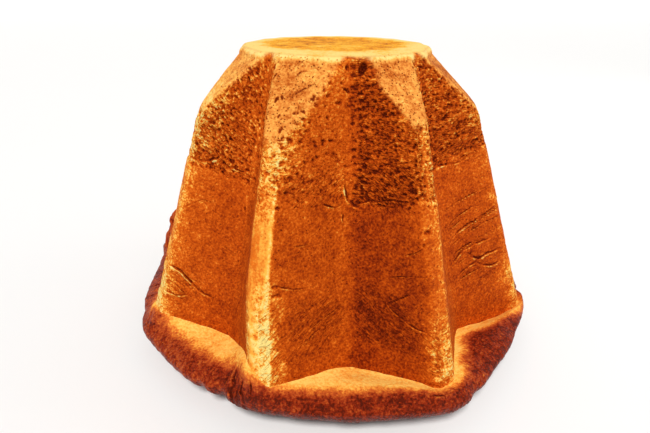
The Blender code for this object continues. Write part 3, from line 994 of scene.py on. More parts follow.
# Height, size and seed of each unevenness, from wide to fine.
STAR_UNEVENNESS = ((0.00042, 0.028, 21), (0.00018, 0.009, 22), (0.00007, 0.0032, 23), (0.00006, 0.0016, 24))
SPONGE_HEIGHT, BAND_SUNK = 0.00028, 0.00045
ROUGH_RIDGE_HEIGHT = 0.00035
LOBE_SUNK, LOBE_LUMPS = 0.0009, 0.0016
SETTLED_AT_TOP, SETTLED_DROP = 0.4, 0.004
SMALL_BLUR, WIDE_BLUR = 4, 10

sponge = rough_noise(points, 0.0026, 41, 2)
climbed = ease(lobe(azimuth_here, level_here) - side(azimuth_here, level_here), -0.0016, 0.0006)
relief = sum(size * noise(points, lump, seed) for size, lump, seed in STAR_UNEVENNESS)
relief += band * openness * (SPONGE_HEIGHT * sponge - BAND_SUNK)
relief += low_on_ridge * ROUGH_RIDGE_HEIGHT * rough_noise(points, 0.0032, 51, 3)
relief += star_skin.raised - star_skin.sunk - wrinkle
relief -= climbed * (LOBE_SUNK + LOBE_LUMPS * rough_noise(points, 0.0075, 61, 2))
settled = SETTLED_AT_TOP + (1.0 - SETTLED_AT_TOP) * ease(STAR_HEIGHT - height, 0.0, SETTLED_DROP)
relief = relief * settled - MARGIN
star_skin.skin = points + star_skin.normals * relief[..., None]
# How much lower each point lies than its neighbours, near and wide: it paints shade into recesses and a
# highlight onto crests.
cavity = blurred(relief, SMALL_BLUR, SMALL_BLUR) - relief
wide_cavity = blurred(relief, WIDE_BLUR, WIDE_BLUR) - relief
print("the relief goes from", round(1000 * float(relief.min()), 2), "to",
      round(1000 * float(relief.max()), 2), "mm")

# %% The bake of faces, valleys and ridges
# For each ridge from the front right one on: the bake of its blunt flat, how much paler the crumb is a
# few millimetres beside it, and how much paler the painted highlight makes the flat's right edge.
RIDGE_BAKE = (
    (0.50, 0.08, 0.12),
    (0.44, 0.10, 0.10),
    (0.40, 0.10, 0.10),
    (0.44, 0.08, 0.08),
    (0.40, 0.10, 0.10),
    (0.44, 0.08, 0.08),
    (0.28, 0.14, 0.00),
    (0.29, 0.06, 0.18),
)
WIDE_GOLD_REACH = 0.0070
VALLEY_GOLD = 0.08
VALLEY_GOLD_REACH = 0.0024
VALLEY_GOLD_SHIFT = 0.0024
SHOULDER_GOLD = 0.14
SHOULDER_GOLD_REACH = 0.0045
ROUGH_GOLD = 0.13


def glow(distance, width):
    """1 on a line and fading away from it, as the paler crumb beside an edge does."""
    return np.exp(-(distance / width) ** 2)


at_valley = FACES[face_of_column, BROWN_AT_VALLEY]
in_middle = FACES[face_of_column, BROWN_IN_MIDDLE]
at_ridge = FACES[face_of_column, BROWN_AT_RIDGE]
flat_bake, wide_gold, edge_highlight = np.asarray(RIDGE_BAKE)[ridge_of_column].T
bake = np.where(ridge_share < 0.5, at_valley + (in_middle - at_valley) * 2.0 * ridge_share,
                in_middle + (at_ridge - in_middle) * (2.0 * ridge_share - 1.0))
bake -= wide_gold * glow(from_ridge_line, WIDE_GOLD_REACH)
valley_glow = glow(from_valley_line - VALLEY_GOLD_SHIFT, VALLEY_GOLD_REACH)
bake -= VALLEY_GOLD * (face_of_column % 2) * valley_glow
rough_reach = 0.0030 + 0.0110 * ease(level_here, 0.50, 0.80)
rough_gold = uneven(from_ridge_line, 0.0015, rough_reach + 0.0030, rough_reach - 0.0030)
bake -= ROUGH_GOLD * (face_of_column == FRONT_LEFT_FACE) * ease(level_here, 0.46, 0.56) * rough_gold
bake = blurred(blurred(bake, 0, 5), 0, 5)
print("the faces are baked from", round(float(bake.min()), 2), "to", round(float(bake.max()), 2))

# %% The bake of the ridges' flats, and a painted highlight on their edges
LEFT_FLAT_UPPER_BROWN = 0.07
BAND_GOLD, OPEN_GOLD, HEIGHT_GOLD = 0.05, 0.04, 0.05
RIGHT_BAND_BROWN = 0.05
STREAK_BROWN = 0.06
LOW_GOLD, LOW_GOLD_LEFT, LESS_ON_LEFT_FLAT = 0.23, 0.40, 0.20

flat_bake = flat_bake + LEFT_FLAT_UPPER_BROWN * on_left_front_ridge * ease(level_here, 0.46, 0.62)
calm = ridge_flat * on_left_front_ridge * ease(level_here, 0.60, 0.48)
calm = calm * (1.0 - ease(level_here, 0.40, 0.22) * uneven(rightward, 0.001, -0.0028, 0.0006))
streaks = noise(points * (1.0, 1.0, 0.05), 0.0011, 81) + noise(points * (1.0, 1.0, 0.10), 0.0024, 82)
# A painted highlight along the flat's right edge: a thin line on the front left ridge, a wider fade on the
# others.
edge = np.where(on_left_front_ridge, ridge_edge * (turn_here > 0.0),
                ridge_flat * ease(rightward, -0.0030, 0.0040))
bake += ridge_flat * (flat_bake - bake) - edge * edge_highlight + STREAK_BROWN * calm * streaks
bake -= ease(level_here, 0.25, 0.85) * HEIGHT_GOLD + band * (BAND_GOLD + OPEN_GOLD * openness)
golden = np.where(on_left_front_ridge, LOW_GOLD_LEFT - LESS_ON_LEFT_FLAT * ridge_flat, LOW_GOLD)
bake -= low_on_ridge * golden * (1.0 - 0.4 * calm)
bake += RIGHT_BAND_BROWN * band * (face_of_column == RIGHT_FACE)
bake -= SHOULDER_GOLD * (1.0 - 0.6 * ridge_flat) * glow(np.minimum(over_shoulder, 0.0), SHOULDER_GOLD_REACH)
print("share of calm, smooth crumb:", round(float(calm.mean()), 3))

# %% Painted shade in holes and creases, painted highlight on lips and crests
CAVITY_SHADE = 300.0
WIDE_CAVITY_SHADE = 140.0
LIP_PAINTED_HIGHLIGHT = 140.0
PIT_PAINTED_SHADE, DEEP_PIT_PAINTED_SHADE = 0.14, 0.22
SHADE_LIMITS = (-0.17, 0.20)

# Painted shade where the skin lies deep and in pits and creases, and a painted highlight on crests and lips.
shade = np.clip(CAVITY_SHADE * cavity + WIDE_CAVITY_SHADE * wide_cavity, *SHADE_LIMITS)
bake += shade + PIT_PAINTED_SHADE * star_skin.dark - LIP_PAINTED_HIGHLIGHT * star_skin.raised + DEEP_PIT_PAINTED_SHADE * star_skin.deep
# In deep holes the facet ramp gives way to the crumb ramp, so their painted shade shows.
facet = facet * (1.0 - star_skin.deep)
print("bake goes from", round(float(bake.min()), 2), "to", round(float(bake.max()), 2))

# %% [markdown]
# ## From grids to pieces
#
# A grid of points becomes a mesh once its neighbours are joined into quads. Joining them one by one in a
# loop would be slow, so the numbers of all corners are worked out at once and handed to the mesh in bulk.
# The star has more quads than one mesh should hold, so it is cut into four pieces that share their
# outward directions along the cuts, and no seam shows.


# %% A grid becomes a piece
def skin_piece(name, points, normals, traits, closed_round):
    """A mesh from a grid of points, with a value of each trait at every point for its finish to read."""
    rows, columns = points.shape[:2]
    index = np.arange(rows * columns).reshape(rows, columns)
    left, after = index[:, :-1], index[:, 1:]
    if closed_round:
        left, after = index, np.roll(index, -1, axis=1)
    quads = np.stack((left[:-1], left[1:], after[1:], after[:-1]), axis=-1).reshape(-1, 4)
    mesh = bpy.data.meshes.new(name)
    mesh.vertices.add(rows * columns)
    mesh.vertices.foreach_set("co", points.astype(np.float32).ravel())
    mesh.loops.add(quads.size)
    mesh.loops.foreach_set("vertex_index", quads.astype(np.int32).ravel())
    mesh.polygons.add(len(quads))
    mesh.polygons.foreach_set("loop_start", np.arange(0, quads.size, 4, dtype=np.int32))
    mesh.update(calc_edges=True)
    for trait, values in traits.items():
        kind, field = ("FLOAT_VECTOR", "vector") if values.ndim == 3 else ("FLOAT", "value")
        layer = mesh.attributes.new(trait, kind, "POINT")
        layer.data.foreach_set(field, values.astype(np.float32).ravel())
    mesh.shade_smooth()
    mesh.normals_split_custom_set_from_vertices(normals.reshape(-1, 3).tolist())
    piece = bpy.data.objects.new(name, mesh)
    bpy.context.scene.collection.objects.link(piece)
    print(name, "has", 2 * len(quads), "triangles")
    return piece


# %% Cut the star's skin into four
def along_grain(lean):
    """Each point's place along and across a leaning direction of its face."""
    return np.stack((
        rightward * np.cos(lean) + height * np.sin(lean),
        height * np.cos(lean) - rightward * np.sin(lean),
        0.05 * face_of_column + 0.0 * reach,
    ), axis=-1)


grain = along_grain(tilt)
foot_grain = along_grain(np.radians(FOOT_TILT[face_of_column]))
seam = ease(from_ridge_line, 0.0002, 0.0014) * ease(from_valley_line, 0.0002, 0.0014)
off_valley = ease(from_valley_line, 0.0004, 0.0030)
# The bake trait also holds painted shade in recesses, pits and creases, and a painted highlight on crests,
# lips and ridge edges.
star_traits = {
    "bake": bake,
    "band": band * openness * seam,
    "facet": facet,
    "rim": rim,
    "flat_top": flat_top,
    "shade": shade + 0.20 * star_skin.dark,
    "climbed": climbed,
    "line": star_skin.line,
    "line_strength": star_skin.line_strength,
    "calm": calm,
    "wrinkled": np.maximum(wrinkled, 0.8 * low_on_ridge) * (1.0 - calm) * off_valley * seam,
    "grain": grain,
    "foot_grain": foot_grain,
}
finished_normals = normals_of(star_skin.skin)
pieces = []
for quarter, name in enumerate(("star_front", "star_right", "star_back", "star_left")):
    first = quarter * COLUMNS_PER_QUARTER
    columns = np.arange(first, first + COLUMNS_PER_QUARTER + 1) % len(azimuths)
    cut = {trait: values[:, columns] for trait, values in star_traits.items()}
    pieces.append(skin_piece(name, star_skin.skin[:, columns], finished_normals[:, columns], cut, False))

# %% [markdown]
# ## The crust
#
# The dough that rose over the tin's edge baked dark and hangs out round the foot. Each valley has a pale
# shelf where the tin's rim shaded it, and the crust then rolls over to a flat underside. It was pinched
# into pleats and folds where it sank. It could be a torus squashed flat, but its outline is nearly an
# octagon and its shelf rises and falls, so it is a second grid: shelf, brow, belly and underside, row
# after row.

# %% The crust's outline
CRUST_DEPTH = 0.024
CRUST_REACH = 0.1225
CRUST_FLATNESS = 0.7
CRUST_CORNER_DEGREES = 5.0
CRUST_WIDEST_BELOW_SHELF = 0.0074
SHELF_REACH = 0.0945
SHELF_MARGIN = 0.002
SHELF_DIP = 0.0012
UNDERSIDE_REACH = 0.084
CRUST_SWELL = (0.0034, -0.0014, 0.0010, -0.0015, 0.0020, 0.0, -0.0012, -0.0038)
PLEATS = (
    (-33.0, 3.2, 0.0022),
    (-39.5, 2.8, 0.0012),
    (28.5, 3.0, 0.0014),
    (74.0, 3.4, 0.0018),
    (108.0, 3.0, 0.0012),
    (151.0, 3.6, 0.0024),
    (-163.0, 3.2, 0.0018),
    (-128.0, 3.0, 0.0016),
)


def crust_reach(azimuth):
    """The reach of the crust where it is widest: between a circle and a rounded octagon, and uneven."""
    rounded = np.hypot(from_ridge(azimuth), math.radians(CRUST_CORNER_DEGREES))
    octagon = math.cos(HALF_SECTOR) / np.cos(HALF_SECTOR - rounded)
    widest = CRUST_REACH * (1.0 + CRUST_FLATNESS * (octagon - 1.0)) + by_ridge(azimuth, CRUST_SWELL)
    widest = soft_max(widest, lobe(azimuth, 0.0) + SHELF_MARGIN, LOBE_SOFTNESS)
    for middle, half_width, deepest in PLEATS:
        across = np.clip(degrees_from(azimuth, middle) / half_width, -1.0, 1.0)
        widest = widest - deepest * (1.0 + np.cos(math.pi * across)) / 2.0
    return widest


print("the crust is up to", round(2000 * float(crust_reach(np.linspace(0.0, 6.28, 400)).max())), "mm wide")

# %% The shelf's height round the cake
# How far the shelf's inner edge is above or below its level: direction in degrees, then millimetres.
SHELF_LIFT = (
    (-100, 1.0), (-75, 4.0), (-66, 5.5), (-58, 2.4), (-52, 0.0), (-45, -1.5), (-40, -0.5), (-35, 3.4),
    (-30, 8.0), (-25, 9.5), (-22, 3.6), (-19, 1.6), (-16, 0.2), (-9.5, -1.0), (-2.5, -3.1), (1, -4.1),
    (6, -3.9), (12.7, -2.6), (16.8, -2.6), (20, -3.4), (23, -3.6), (26, -2.0), (31, -1.0), (36, -4.0),
    (45, -6.5), (53, -7.5), (60, -7.2), (64.5, -5.0), (70, -2.0), (80, 0.0), (112, 2.5), (135, -2.0),
    (158, 3.5), (180, -1.5), (203, 3.0), (225, -2.0), (247, 2.0),
)
CRUST_COLUMNS = 1210
CROWDING = 0.28
LIFT_BLUR_DEGREES = 1.5


def round_the_cake(table, degrees):
    """A table's number in each direction, blended between the directions that it names."""
    named, numbers = np.asarray(table, dtype=float).T
    return np.interp(degrees, named, numbers, period=360.0)


even = np.linspace(0.0, 2.0 * math.pi, CRUST_COLUMNS, endpoint=False)
around = even - CROWDING * np.sin(even)
degrees_round = np.degrees(around)
nearby = (-LIFT_BLUR_DEGREES, 0.0, LIFT_BLUR_DEGREES)
lift = sum(round_the_cake(SHELF_LIFT, degrees_round + step) for step in nearby) / (1000.0 * len(nearby))
print("the shelf rises by up to", round(1000 * float(lift.max()), 1), "mm")

# %% The crust's grid
SHELF_ROWS = 22
BROW_ROWS = 26
BELLY_ROWS = 26
UNDERSIDE_ROWS = 8
INNER_TUCK = 0.007
LIFT_ENDS = 0.6

foot_line = star(around, np.zeros(CRUST_COLUMNS))
shelf_edge = np.maximum(foot_line + SHELF_MARGIN, SHELF_REACH)
widest = crust_reach(around)
share = np.linspace(0.0, 1.0, SHELF_ROWS + 1)[:-1, None]
shelf_rows = foot_line - INNER_TUCK + (shelf_edge - foot_line + INNER_TUCK) * share
bend = np.linspace(0.0, math.pi / 2.0, BROW_ROWS + 1)[:-1, None]
brow_rows = shelf_edge + (widest - shelf_edge) * np.sin(bend)
brow_fall = -SHELF_DIP - (CRUST_WIDEST_BELOW_SHELF - SHELF_DIP) * (1.0 - np.cos(bend))
roll = np.linspace(0.0, math.pi / 2.0, BELLY_ROWS + 1)[:-1, None]
belly_rows = UNDERSIDE_REACH + (widest - UNDERSIDE_REACH) * np.cos(roll)
belly_fall = -CRUST_WIDEST_BELOW_SHELF - (CRUST_DEPTH - CRUST_WIDEST_BELOW_SHELF) * np.sin(roll)
under_share = np.linspace(1.0, POLE_SHARE, UNDERSIDE_ROWS)[:, None]
under_rows = UNDERSIDE_REACH * under_share + 0.0 * widest
crust_reaches = np.concatenate((shelf_rows, brow_rows, belly_rows, under_rows))
crust_heights = np.concatenate((
    -SHELF_DIP * share, brow_fall, belly_fall, np.full((UNDERSIDE_ROWS, 1), -CRUST_DEPTH),
)) + 0.0 * crust_reaches
outer_rows = np.arange(len(crust_reaches))[:, None] >= SHELF_ROWS + BROW_ROWS
lift_end = shelf_edge + LIFT_ENDS * (widest - shelf_edge)
crust_heights = crust_heights + lift * ease(crust_reaches, lift_end, foot_line) * (1.0 - outer_rows)
crust_ladder = np.where(outer_rows, 2.0 * widest - crust_reaches, crust_reaches)
crust_skin = Skin(around, crust_reaches, crust_heights, crust_ladder)
print("the crust's grid has", len(crust_reaches), "rows")

# %% Folds and cracks of the crust
# Width, depth and lip in tenths of a millimetre, then the path: degrees and millimetres from the axis.
CRUST_FOLDS = (
    (9, 20, 6, ((-29.5, 105.5), (-30.2, 108.0), (-28.9, 111.0), (-29.6, 113.5), (-27.8, 116.5))),
    (6, 9, 4, ((-26.0, 110.5), (-26.6, 112.5), (-25.4, 114.5), (-24.9, 116.8), (-23.4, 118.5))),
    (4, 4, 3, ((-33.0, 106.5), (-32.0, 109.5), (-32.4, 112.0))),
    (4, 5, 3, ((-28.4, 112.0), (-27.0, 114.0), (-27.6, 116.5), (-26.0, 118.5))),
    (4, 6, 3, ((-24.0, 111.6), (-23.0, 113.0), (-23.2, 115.6))),
    (7, 12, 6, ((16.2, 112.5), (18.0, 114.3), (20.2, 115.4), (22.2, 115.2), (23.8, 114.2))),
    (6, 9, 5, ((16.6, 114.6), (18.6, 116.4), (21.0, 117.4), (23.0, 117.0))),
    (4, 6, 2, ((-47.0, 106.0), (-44.5, 110.0), (-44.0, 114.0))),
    (4, 5, 2, ((-60.0, 110.5), (-56.0, 113.0), (-52.0, 114.5))),
    (8, 18, 6, ((74.0, 108.0), (74.6, 112.0), (73.6, 116.0))),
    (6, 10, 5, ((108.0, 104.0), (110.0, 109.0), (109.0, 114.0))),
    (9, 20, 6, ((151.0, 106.0), (152.0, 110.0), (151.0, 115.0))),
    (7, 14, 5, ((-163.0, 107.0), (-162.0, 111.0), (-163.5, 116.0))),
    (6, 12, 5, ((-128.0, 104.0), (-127.0, 109.0), (-128.5, 114.0))),
)
RANDOM_FOLDS = 26

for width, depth, lip, path in CRUST_FOLDS:
    groove(crust_skin, [(degrees, reach_mm / 1000.0) for degrees, reach_mm in path],
           width / 1e4, depth / 1e4, lip / 1e4, 0.6, 0.6)
for _ in range(RANDOM_FOLDS):
    degrees, start, length, swing, deep = dice.random(5)
    degrees, first = 360.0 * degrees, 0.106 + 0.016 * start
    length = 0.003 + 0.007 * length
    path = [(degrees + 9.0 * (swing - 0.5) * t, first + length * t) for t in (0.0, 0.5, 1.0)]
    groove(crust_skin, path, 0.0007 + 0.0004 * deep, 0.0002 + 0.0002 * deep, 0.0002, 0.1, 0.15)
print("folds pressed:", len(CRUST_FOLDS) + RANDOM_FOLDS)

# %% Where the crust is dark, and its painted shade below
# Where the pale shelf ends: direction in degrees, then millimetres from the axis.
PALE_EDGE = (
    (-100, 98.0), (-85, 104.0), (-75, 110.0), (-69, 110.0), (-62.6, 106.0), (-54, 102.0), (-45, 100.0),
    (-36.8, 100.5), (-31.5, 102.0), (-28, 104.0), (-25.0, 107.5), (-22.0, 109.0), (-17.9, 106.5),
    (-9.4, 103.0), (-3.1, 103.2), (3.2, 103.2), (10.4, 106.0), (16.2, 110.0), (19.8, 112.5), (25.0, 113.0),
    (29.0, 108.0), (34.0, 100.0), (38, 95.0), (42.2, 93.0), (50, 99.5), (58.5, 110.0), (66, 116.0),
    (90, 99.0), (112, 112.0), (135, 102.0), (158, 111.0), (180, 99.0), (203, 113.0), (225, 101.0),
    (247, 112.0),
)
# How brown the crust is beyond the shelf: direction in degrees, then the bake.
CRUST_BROWN = (
    (-100, 0.80), (-75, 0.78), (-55, 0.74), (-38, 0.76), (-30, 0.86), (-22, 0.90), (-5, 0.87), (12, 0.87),
    (22, 0.84), (30, 0.82), (45, 0.86), (62, 0.93), (90, 0.84), (130, 0.78), (180, 0.82), (225, 0.78),
)

places = crust_skin.points
pale_edge = round_the_cake(PALE_EDGE, degrees_round) / 1000.0
crust_brown = round_the_cake(CRUST_BROWN, degrees_round)
crust_ragged = rough_noise(places, 0.010, 71, 3)
darkness = ease(crust_ladder - pale_edge[None, :] + 0.0022 * crust_ragged, -0.0030, 0.0075)
# Painted shade: the crust is made darker towards its underside, which faces down away from the light.
painted_belly_shade = ease(crust_heights, -0.0050, -0.0150)
resting = ease(crust_heights, -CRUST_DEPTH, -CRUST_DEPTH + 0.003)
print("share of the crust's skin that is dark:", round(float(darkness.mean()), 2))

# %% The crust's relief and piece
CRUST_MARGIN = 0.0007
# Height, size and seed of each unevenness, from wide to fine.
CRUST_UNEVENNESS = ((0.0007, 0.016, 51), (0.0003, 0.006, 52), (0.00010, 0.0022, 53))
FINE_FOLD_DEPTH = 0.00042
CRUST_BLUR = 3
CRUST_SHADE = 260.0
CRUST_SHADE_LIMITS = (-0.16, 0.22)
# The pale shelf's own bake, and how much painted shade darkens the crust towards its underside.
SHELF_BAKE, BELLY_PAINTED_SHADE = 0.09, 0.16

wrinkle_place = np.stack((
    degrees_round[None, :] * 0.0021 + 0.002 * crust_ragged,
    0.22 * crust_ladder,
    0.0 * crust_reaches,
), axis=-1)
fine_folds = np.maximum(folds(wrinkle_place, 0.0026, 61), 0.8 * folds(wrinkle_place, 0.0015, 62)) ** 3
crust_relief = sum(size * noise(places, lump, seed) for size, lump, seed in CRUST_UNEVENNESS)
crust_relief += crust_skin.raised - crust_skin.sunk - FINE_FOLD_DEPTH * fine_folds * darkness
crust_relief = (crust_relief - CRUST_MARGIN) * resting
crust_skin.skin = places + crust_skin.normals * crust_relief[..., None]
crust_cavity = blurred(crust_relief, CRUST_BLUR, CRUST_BLUR) - crust_relief
crust_shade = np.clip(CRUST_SHADE * crust_cavity, *CRUST_SHADE_LIMITS)
crust_traits = {
    "darkness": darkness,
    "shade": crust_shade + 0.16 * crust_skin.dark,
    "brown": darkness * (crust_brown - SHELF_BAKE) + SHELF_BAKE + BELLY_PAINTED_SHADE * painted_belly_shade,
    "line": crust_skin.line,
    "line_strength": crust_skin.line_strength,
}
crust_normals = normals_of(crust_skin.skin)
pieces.append(skin_piece("crust", crust_skin.skin, crust_normals, crust_traits, True))

# %% [markdown]
# ## A small language for finishes
#
# A finish is a tree of nodes. It could be drawn in the shader editor or written node by node, but both
# hide the thought, so a socket is wrapped in a small class whose arithmetic adds the nodes: 1 - mask
# makes a Math node and returns its output. Colours go through Mix nodes, because a Math node would turn
# them grey.


# %% Sockets that do arithmetic
class Flow:
    """A value, vector or colour on its way through a finish."""

    def __init__(self, finish, socket):
        self.finish = finish
        self.socket = socket

    def math(self, operation, first, second):
        return self.finish.node("ShaderNodeMath", {"operation": operation}, {0: first, 1: second})

    def __add__(self, other):
        return self.math("ADD", self, other)

    def __radd__(self, other):
        return self.math("ADD", other, self)

    def __sub__(self, other):
        return self.math("SUBTRACT", self, other)

    def __rsub__(self, other):
        return self.math("SUBTRACT", other, self)

    def __mul__(self, other):
        return self.math("MULTIPLY", self, other)

    def __rmul__(self, other):
        return self.math("MULTIPLY", other, self)

    def __abs__(self):
        return self.math("ABSOLUTE", self, 0.0)


class Finish:
    """One material and the nodes that make it."""

    def __init__(self, name):
        self.material = bpy.data.materials.new(name)
        self.material.use_nodes = True
        self.tree = self.material.node_tree
        self.shader = self.tree.nodes["Principled BSDF"]

    def node(self, kind, settings, values, out=0):
        """Adds a node, makes its settings, then gives each named socket a value or a link."""
        added = self.tree.nodes.new(kind)
        for name, setting in settings.items():
            if name == "stops":
                self.set_stops(added.color_ramp, setting)
            else:
                setattr(added, name, setting)
        for name, value in values.items():
            self.feed(added.inputs[name], value)
        return Flow(self, added.outputs[out])

    def feed(self, socket, value):
        if isinstance(value, Flow):
            self.tree.links.new(value.socket, socket)
        else:
            socket.default_value = value

    def set_stops(self, ramp, stops):
        while len(ramp.elements) < len(stops):
            ramp.elements.new(0.5)
        for element, (position, colour) in zip(ramp.elements, stops):
            element.position = position
            element.color = (*colour, 1.0)

    def trait(self, name, vector=False):
        """A value that was written on the mesh."""
        return self.node("ShaderNodeAttribute", {"attribute_name": name}, {}, 1 if vector else 2)

    def ramp(self, stops, value):
        """A colour from a row of stops."""
        return self.node("ShaderNodeValToRGB", {"stops": stops}, {0: value})

    def wear(self, colour, roughness, shine, tint, bumps, strength, distance):
        """Feeds the shader. Its shine and tint are the same all over."""
        bump = self.node("ShaderNodeBump", {}, {"Strength": strength, "Distance": distance, "Height": bumps})
        worn = {"Base Color": colour, "Roughness": roughness, "Specular IOR Level": shine,
                "Specular Tint": (*tint, 1.0), "Normal": bump}
        for socket, value in worn.items():
            self.feed(self.shader.inputs[socket], value)
        print(self.material.name, "has", len(self.tree.nodes), "nodes")

    def place(self):
        """Where the point is, in metres."""
        return self.node("ShaderNodeTexCoord", {}, {}, 3)

    def stretch(self, vector, factors):
        return self.node("ShaderNodeVectorMath", {"operation": "MULTIPLY"}, {0: vector, 1: factors})

    def speckle(self, vector, size, detail=3.0, roughness=0.55):
        """Noise from 0 to 1 whose lumps are about as large as size."""
        values = {"Vector": vector, "Scale": 1.0 / size, "Detail": detail, "Roughness": roughness}
        return self.node("ShaderNodeTexNoise", {"noise_dimensions": "3D"}, values)

    def climb(self, value, start, end):
        """A smooth climb from 0 at start to 1 at end."""
        values = {"Value": value, "From Min": start, "From Max": end}
        return self.node("ShaderNodeMapRange", {"interpolation_type": "SMOOTHSTEP"}, values)

    def blend(self, mask, first, second):
        """The first colour where the mask is 0, and the second where it is 1."""
        values = {0: mask, 6: first, 7: second}
        return self.node("ShaderNodeMix", {"data_type": "RGBA"}, values, 2)

    def furrow(self):
        """The middle of a crease for painted shade, and its raised lip below for a painted highlight, both
        finer than the mesh.
        """
        line, strength = self.trait("line"), self.trait("line_strength")
        return self.climb(abs(line), 1.1, 0.2) * strength, self.climb(abs(line + 1.8), 1.1, 0.1) * strength

    def dots(self, vector, spacing, radius, share):
        """Small round dots: 1 inside one. Each cell of the pattern has one, or none."""
        values = {"Vector": vector, "Scale": 1.0 / spacing}
        cells = self.node("ShaderNodeTexVoronoi", {"feature": "F1"}, values)
        chance = self.node("ShaderNodeSeparateColor", {}, {0: Flow(self, cells.socket.node.outputs["Color"])})
        present = self.climb(chance, 1.0 - share - 0.02, 1.0 - share + 0.02)
        near = radius / spacing
        return self.climb(cells, near, near * 0.45) * present


# %% [markdown]
# ## The crumb's finish
#
# Baking turns pale dough gold, then orange, then brown. The colours could be painted on, but one ramp that
# holds them in order does more: one number, how far the crumb is baked, runs over it. Ridges are baked
# less. Painted shade in holes, creases and wrinkles moves that number further, painted highlights on lips,
# crests and ridge edges move it back, and everything else only moves that number. The facets and the
# flat top dried differently, so they have ramps of their own.

# %% Colours of the bake
BAKE = (
    (0.00, (0.90, 0.68, 0.22)),
    (0.15, (0.94, 0.44, 0.060)),
    (0.30, (0.73, 0.165, 0.013)),
    (0.45, (0.58, 0.092, 0.005)),
    (0.60, (0.44, 0.060, 0.003)),
    (0.75, (0.30, 0.033, 0.0025)),
    (0.88, (0.19, 0.017, 0.002)),
    (1.00, (0.10, 0.008, 0.002)),
)
PEACH_BAKE = (
    (0.00, (0.93, 0.66, 0.22)),
    (0.25, (0.90, 0.44, 0.085)),
    (0.50, (0.74, 0.26, 0.045)),
    (0.75, (0.50, 0.11, 0.012)),
    (1.00, (0.20, 0.028, 0.005)),
)
GOLD_BAKE = (
    (0.00, (0.90, 0.66, 0.20)),
    (0.35, (0.94, 0.47, 0.032)),
    (0.60, (0.86, 0.34, 0.012)),
    (0.80, (0.70, 0.20, 0.008)),
    (1.00, (0.35, 0.06, 0.006)),
)
CRUST_BAKE = (
    (0.00, (0.98, 0.60, 0.13)),
    (0.20, (0.95, 0.40, 0.055)),
    (0.40, (0.70, 0.16, 0.020)),
    (0.60, (0.49, 0.077, 0.013)),
    (0.80, (0.29, 0.023, 0.004)),
    (1.00, (0.10, 0.009, 0.003)),
)
print("the crumb's ramp has", len(BAKE), "colours")

# %% The crumb's grain and marks
# Sizes are in metres. A dot's numbers are its spacing, its radius and the share of cells that have one.
crumb = Finish("golden_crumb")
where = crumb.place()
band_trait = crumb.trait("band")
facet_trait = crumb.trait("facet")
rim_trait = crumb.trait("rim")
shade_trait = crumb.trait("shade")
wrinkled = crumb.trait("wrinkled")
plain = 1.0 - crumb.trait("calm") * 0.75
mottle = crumb.speckle(where, 0.014, 4.0) - 0.5
grainy_mix = crumb.speckle(where, 0.0040, 3.0) - 0.5
fine = crumb.speckle(where, 0.0011, 3.0, 0.65) - 0.5
pins = crumb.dots(where, 0.0014, 0.00042, 0.8)
specks = crumb.dots(where, 0.0018, 0.00036, 0.6)
furrow, lip = crumb.furrow()
grain_trait = crumb.trait("grain", vector=True)
band_pins = crumb.dots(crumb.stretch(grain_trait, (0.45, 1.0, 1.0)), 0.0010, 0.00040, 0.85) * band_trait
slit_paths = crumb.stretch(grain_trait, (0.30, 1.0, 1.0))
slits = crumb.climb(abs(crumb.speckle(slit_paths, 0.0018, 2.0) - 0.5), 0.07, 0.0) * band_trait
band_crests = crumb.climb(crumb.speckle(slit_paths, 0.0015, 2.0), 0.54, 0.70) * band_trait
foot_paths = crumb.stretch(crumb.trait("foot_grain", vector=True), (0.24, 1.0, 1.0))
ripples = crumb.climb(abs(crumb.speckle(foot_paths, 0.0022, 3.0) - 0.5), 0.08, 0.0) * wrinkled
crests = crumb.climb(crumb.speckle(foot_paths, 0.0016, 2.0), 0.58, 0.72) * wrinkled
print("the crumb's marks took", len(crumb.tree.nodes), "nodes")

# %% Bake, colour and bumps of the crumb
# Each number below is how much that grain or mark adds to the bake, or to the height of the bumps.
# Pins, band pins, furrows, slits and ripples add painted shade, and lips and crests take some away as a
# painted highlight; the rim is paler partly as a painted highlight.
bake = crumb.trait("bake") + mottle * plain * 0.36 + grainy_mix * plain * 0.48 + fine * plain * 1.15
bake = bake + band_pins * 0.26 + specks * plain * 0.36 + furrow * 0.25 - lip * 0.28
bake = bake + slits * 0.13 + ripples * 0.13 - crests * 0.18 - band_crests * 0.15
facet_bake_and_painted_light = mottle * 0.9 + grainy_mix * 0.8 + fine * 1.1 + pins * 0.5 + shade_trait * 1.5 + furrow * 0.12
facet_bake_and_painted_light = facet_bake_and_painted_light + 0.55 - rim_trait * 0.60
top_bake_and_rim_highlight = mottle * 1.3 + grainy_mix * 1.2 + fine * 1.0 + pins * 0.5 + 0.54 - rim_trait * 0.66
climbed_bake_and_painted_shade = shade_trait * 0.8 + mottle * 0.5 + fine * 0.4 + 0.74
colour = crumb.blend(facet_trait, crumb.ramp(BAKE, bake), crumb.ramp(PEACH_BAKE, facet_bake_and_painted_light))
colour = crumb.blend(crumb.trait("flat_top"), colour, crumb.ramp(GOLD_BAKE, top_bake_and_rim_highlight))
colour = crumb.blend(crumb.trait("climbed"), colour, crumb.ramp(CRUST_BAKE, climbed_bake_and_painted_shade))
bumps = fine * (1.6 - facet_trait * 0.8) + grainy_mix * 0.8 - band_pins * 1.1 - pins * facet_trait * 0.8
bumps = bumps - specks * 0.6 - furrow * (1.4 - facet_trait) + lip * 0.9 - slits * 1.2 - ripples * 1.2
bumps = bumps + crests * 0.6 + band_crests * 0.8
crumb.wear(colour, roughness=0.72 - band_trait * 0.06, shine=0.06, tint=(1.0, 0.70, 0.28),
           bumps=bumps, strength=0.8, distance=0.0006)

